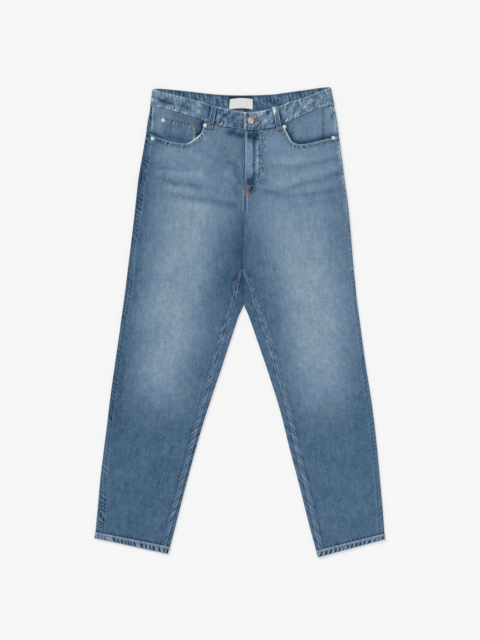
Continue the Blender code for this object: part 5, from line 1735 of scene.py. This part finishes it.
class JEANS_OT_back_pockets(bpy.types.Operator):
    """Makes both back pockets, on the side that the garment lies on."""

    bl_idname = "jeans.back_pockets"
    bl_label = "Back pockets"

    def execute(self, context):
        for side, leg in LEGS.items():
            grid, across, up = back_pocket_grid(leg)
            half_width, height = BACK_POCKET["middle_width"] / 2, BACK_POCKET["height"]
            grain = (across * half_width, up * height)
            edge = bump(half_width - np.abs(grain[0]), 5.0) + bump(height - grain[1], 7.0)
            tone = 122.0 + 12.0 * bump(across, 0.5) * bump(up - 0.5, 0.35) + 8.0 * ripple(grain[1], 9, 81) * edge
            tone = tone + 4.0 * noise(across * 6, up * 7, leg.seed + 50)
            lay_cloth("back_pocket", side, grid, (np.zeros(tone.shape), tone), grain, 1.0)
        return {"FINISHED"}


class JEANS_OT_belt_loops(bpy.types.Operator):
    """Makes the two front and three back belt loops. The back ones lie flat, without relief."""

    bl_idname = "jeans.belt_loops"
    bl_label = "Belt loops"

    def execute(self, context):
        for side in FRONT_BELT_LOOPS:
            self.make_loop("belt_loop_front", side, front_belt_loop_grid(side), 1.0, "waistband")
        for side, centre in BACK_BELT_LOOPS.items():
            self.make_loop("belt_loop_back", side, back_belt_loop_grid(centre), 0.0, "floor")
        return {"FINISHED"}

    def make_loop(self, kind, side, grid, relief, rests_on):
        share_along, share_across = np.meshgrid(*(np.linspace(0, 1, n) for n in LOOP_COUNTS), indexing="ij")
        height, tone = loop_marks(share_along, share_across, 91.0 + len(kind + side))
        if (kind, side) == ("belt_loop_front", "left"):
            # The white cloth that shows beside this loop's upper end.
            tone = tone + 6.0 + 230.0 * bump(share_along - 0.14, 0.16) * bump(share_across - 0.02, 0.42)
        grain = (share_across * BELT_LOOP_WIDTH, share_along * LOOP_SPAN)
        lay_cloth(kind, side, grid, (height * relief, tone), grain, -1.0)


class JEANS_OT_label(bpy.types.Operator):
    """Makes the blank woven label inside the back of the waistband."""

    bl_idname = "jeans.label"
    bl_label = "Label"

    def execute(self, context):
        share, up = np.meshgrid(np.linspace(0, 1, 28), np.linspace(0, 1, 14))
        foot, head = LABEL_CORNERS["bottom"], LABEL_CORNERS["top"]
        x = foot[0] + (foot[1] - foot[0]) * share + (head[0] - foot[0]) * up * (1 - share)
        y = foot[2] + (head[2] - foot[2]) * up + 2.6 * np.sin(math.pi * share)
        z = np.full(x.shape, SEAT_LIFT + BAND + SEAM_GAP + LABEL_CLOTH / 2)
        height = 0.25 * bump(up - 0.5, 0.5) * bump(share - 0.5, 0.45)
        marks = (height, np.full(x.shape, 220.0))
        lay_cloth("label", "", np.stack([x, y, z], axis=-1), marks, (x, y), 1.0)
        return {"FINISHED"}


class JEANS_OT_metal(bpy.types.Operator):
    """Makes the five rivet caps and the waistband button."""

    bl_idname = "jeans.metal"
    bl_label = "Rivets and button"

    def execute(self, context):
        for node, place in RIVETS.items():
            turned_piece(node + "_cap", RIVET_PROFILE, RIVET_RADIUS, place, "tumbled_nickel_rivet", "rivets", node)
        button = (BUTTON_PROFILE, BUTTON_RADIUS, BUTTON_PLACE, "worn_copper_button", "button", "button")
        turned_piece("button_face", *button)
        return {"FINISHED"}


class JEANS_OT_topstitching(bpy.types.Operator):
    """Makes the rows of topstitches, the bar tacks and the buttonhole."""

    bl_idname = "jeans.topstitching"
    bl_label = "Topstitching"

    def execute(self, context):
        sizes = context.scene.jeans_sizes
        pitch = sizes.stitch_pitch / MM
        size = (sizes.stitch_length / MM, sizes.thread_width / MM, THREAD_THICKNESS)
        faces = {side: front_face(leg) for side, leg in LEGS.items()}
        pale = fly_stitches(faces, pitch) + waistband_stitches(pitch) + loop_stitches(pitch)
        brown = [on_surface(ends, coin_pocket_face, pitch) for ends in COIN_POCKET_ROWS]
        for side, leg in LEGS.items():
            for runs, more in zip((pale, brown), leg_stitches(leg, faces[side], pitch)):
                runs += more
        x = np.linspace(*BACK_BAND_STITCH_ENDS, 120)
        edge = np.column_stack([x, line_y(BACK_BAND_TOP, x) - BACK_BAND_STITCH_INSET])
        brown += [on_surface(edge, band_inner_face, pitch), *back_pocket_stitches(pitch)]
        grey = [zigzag(*((x, y) for y in FLY_BAR_Y), faces["left"]) for x in FLY_BAR_X]
        stitch_object("blue_grey_topstitches", pale, size, "washed_blue_grey_thread")
        stitch_object("tobacco_topstitches", brown, size, "faded_tobacco_thread")
        stitch_object("bar_tacks", bar_tacks(faces), TACK_SIZE, "faded_rust_thread")
        stitch_object("fly_bar_tack", grey, FLY_TACK_SIZE, "faded_tobacco_thread")
        stitch_object("buttonhole_stitches", [buttonhole_ring()], BUTTONHOLE_SIZE, "rust_buttonhole_thread")
        return {"FINISHED"}


class JEANS_OT_stage(bpy.types.Operator):
    """Makes the floor, the lights and the camera."""

    bl_idname = "jeans.stage"
    bl_label = "Stage"

    def execute(self, context):
        scene = context.scene
        half = scene.jeans_sizes.floor_size / 2
        mesh = bpy.data.meshes.new("floor")
        corners = [(x * half, y * half, -FLOOR_DROP) for x, y in ((-1, -1), (1, -1), (1, 1), (-1, 1))]
        mesh.from_pydata(corners, [], [(0, 1, 2, 3)])
        new_object("floor", mesh)
        # Matt studio paper: it glows a little, so that only a faint shadow is left on it.
        paper, _, set_shader = new_material("matt_studio_paper")
        colour = tuple(scene.jeans_colours.floor)
        set_shader([
            ("Base Color", (*(PAPER_SHARE * c for c in colour), 1.0)), ("Roughness", 1.0),
            ("Specular IOR Level", 0.0), ("Emission Color", (*colour, 1.0)), ("Emission Strength", PAPER_GLOW),
        ])
        mesh.materials.append(paper)

        world = bpy.data.worlds.new("studio")
        world.use_nodes = True
        background = [("Color", (1.0, 1.0, 1.0, 1.0)), ("Strength", WORLD_LIGHT)]
        set_sockets(world.node_tree, world.node_tree.nodes["Background"], background)
        scene.world = world
        self.add_lamps()
        self.add_camera(scene)
        scene.view_settings.view_transform = "Standard"
        return {"FINISHED"}

    def add_lamps(self):
        """A soft sun from the upper left, 48 degrees off the vertical, and a square softbox overhead.

        The softbox is what the metal mirrors, and the camera doesn't see it.
        """
        sun = bpy.data.lights.new("window", "SUN")
        sun.energy = SUN_ON_CLOTH * math.pi / math.cos(SUN_FROM_VERTICAL)
        sun.angle = SUN_WIDTH
        new_object("window", sun).rotation_euler = SUN_TURN
        box = bpy.data.lights.new("softbox", "AREA")
        box.shape = "SQUARE"
        box.size = SOFTBOX_SIZE
        box.energy = SOFTBOX_WATTS
        over = new_object("softbox", box)
        over.location = (0.0, 0.0, SOFTBOX_HEIGHT)
        over.visible_camera = False

    def add_camera(self, scene):
        """Straight down from 6 m over the cloth, framing 1056 by 1408 mm at the garment."""
        data = bpy.data.cameras.new("overhead")
        data.sensor_width = SENSOR
        data.lens = SENSOR * CAMERA_HEIGHT / FRAMED_HEIGHT
        data.clip_end = 100.0
        scene.camera = new_object("overhead", data)
        scene.camera.location = (0.00012, 0.00632, CAMERA_HEIGHT + 0.006)


class JEANS_PT_panel(bpy.types.Panel):
    """Lists the operators, sizes and colours in the 3D view's sidebar."""

    bl_idname = "JEANS_PT_panel"
    bl_label = "Jeans"
    bl_space_type = "VIEW_3D"
    bl_region_type = "UI"
    bl_category = "Jeans"

    def draw(self, context):
        for group in (context.scene.jeans_sizes, context.scene.jeans_colours):
            for name in group.bl_rna.properties.keys():
                if name not in ("rna_type", "name"):
                    self.layout.prop(group, name)
        for operator in OPERATORS:
            self.layout.operator(operator.bl_idname)


OPERATORS = (
    JEANS_OT_front_panels,
    JEANS_OT_back_panels,
    JEANS_OT_hems,
    JEANS_OT_waistband,
    JEANS_OT_pockets,
    JEANS_OT_back_pockets,
    JEANS_OT_belt_loops,
    JEANS_OT_label,
    JEANS_OT_metal,
    JEANS_OT_topstitching,
    JEANS_OT_stage,
)
CLASSES = (JeansSizes, JeansColours, *OPERATORS, JEANS_PT_panel)


def register():
    for item in CLASSES:
        bpy.utils.register_class(item)
    bpy.types.Scene.jeans_sizes = bpy.props.PointerProperty(type=JeansSizes)
    bpy.types.Scene.jeans_colours = bpy.props.PointerProperty(type=JeansColours)


def unregister():
    del bpy.types.Scene.jeans_colours
    del bpy.types.Scene.jeans_sizes
    for item in reversed(CLASSES):
        bpy.utils.unregister_class(item)


def main():
    """Makes every piece and the stage."""
    register()
    for operator in OPERATORS:
        group, name = operator.bl_idname.split(".")
        getattr(getattr(bpy.ops, group), name)()


if __name__ == "__main__":
    main()
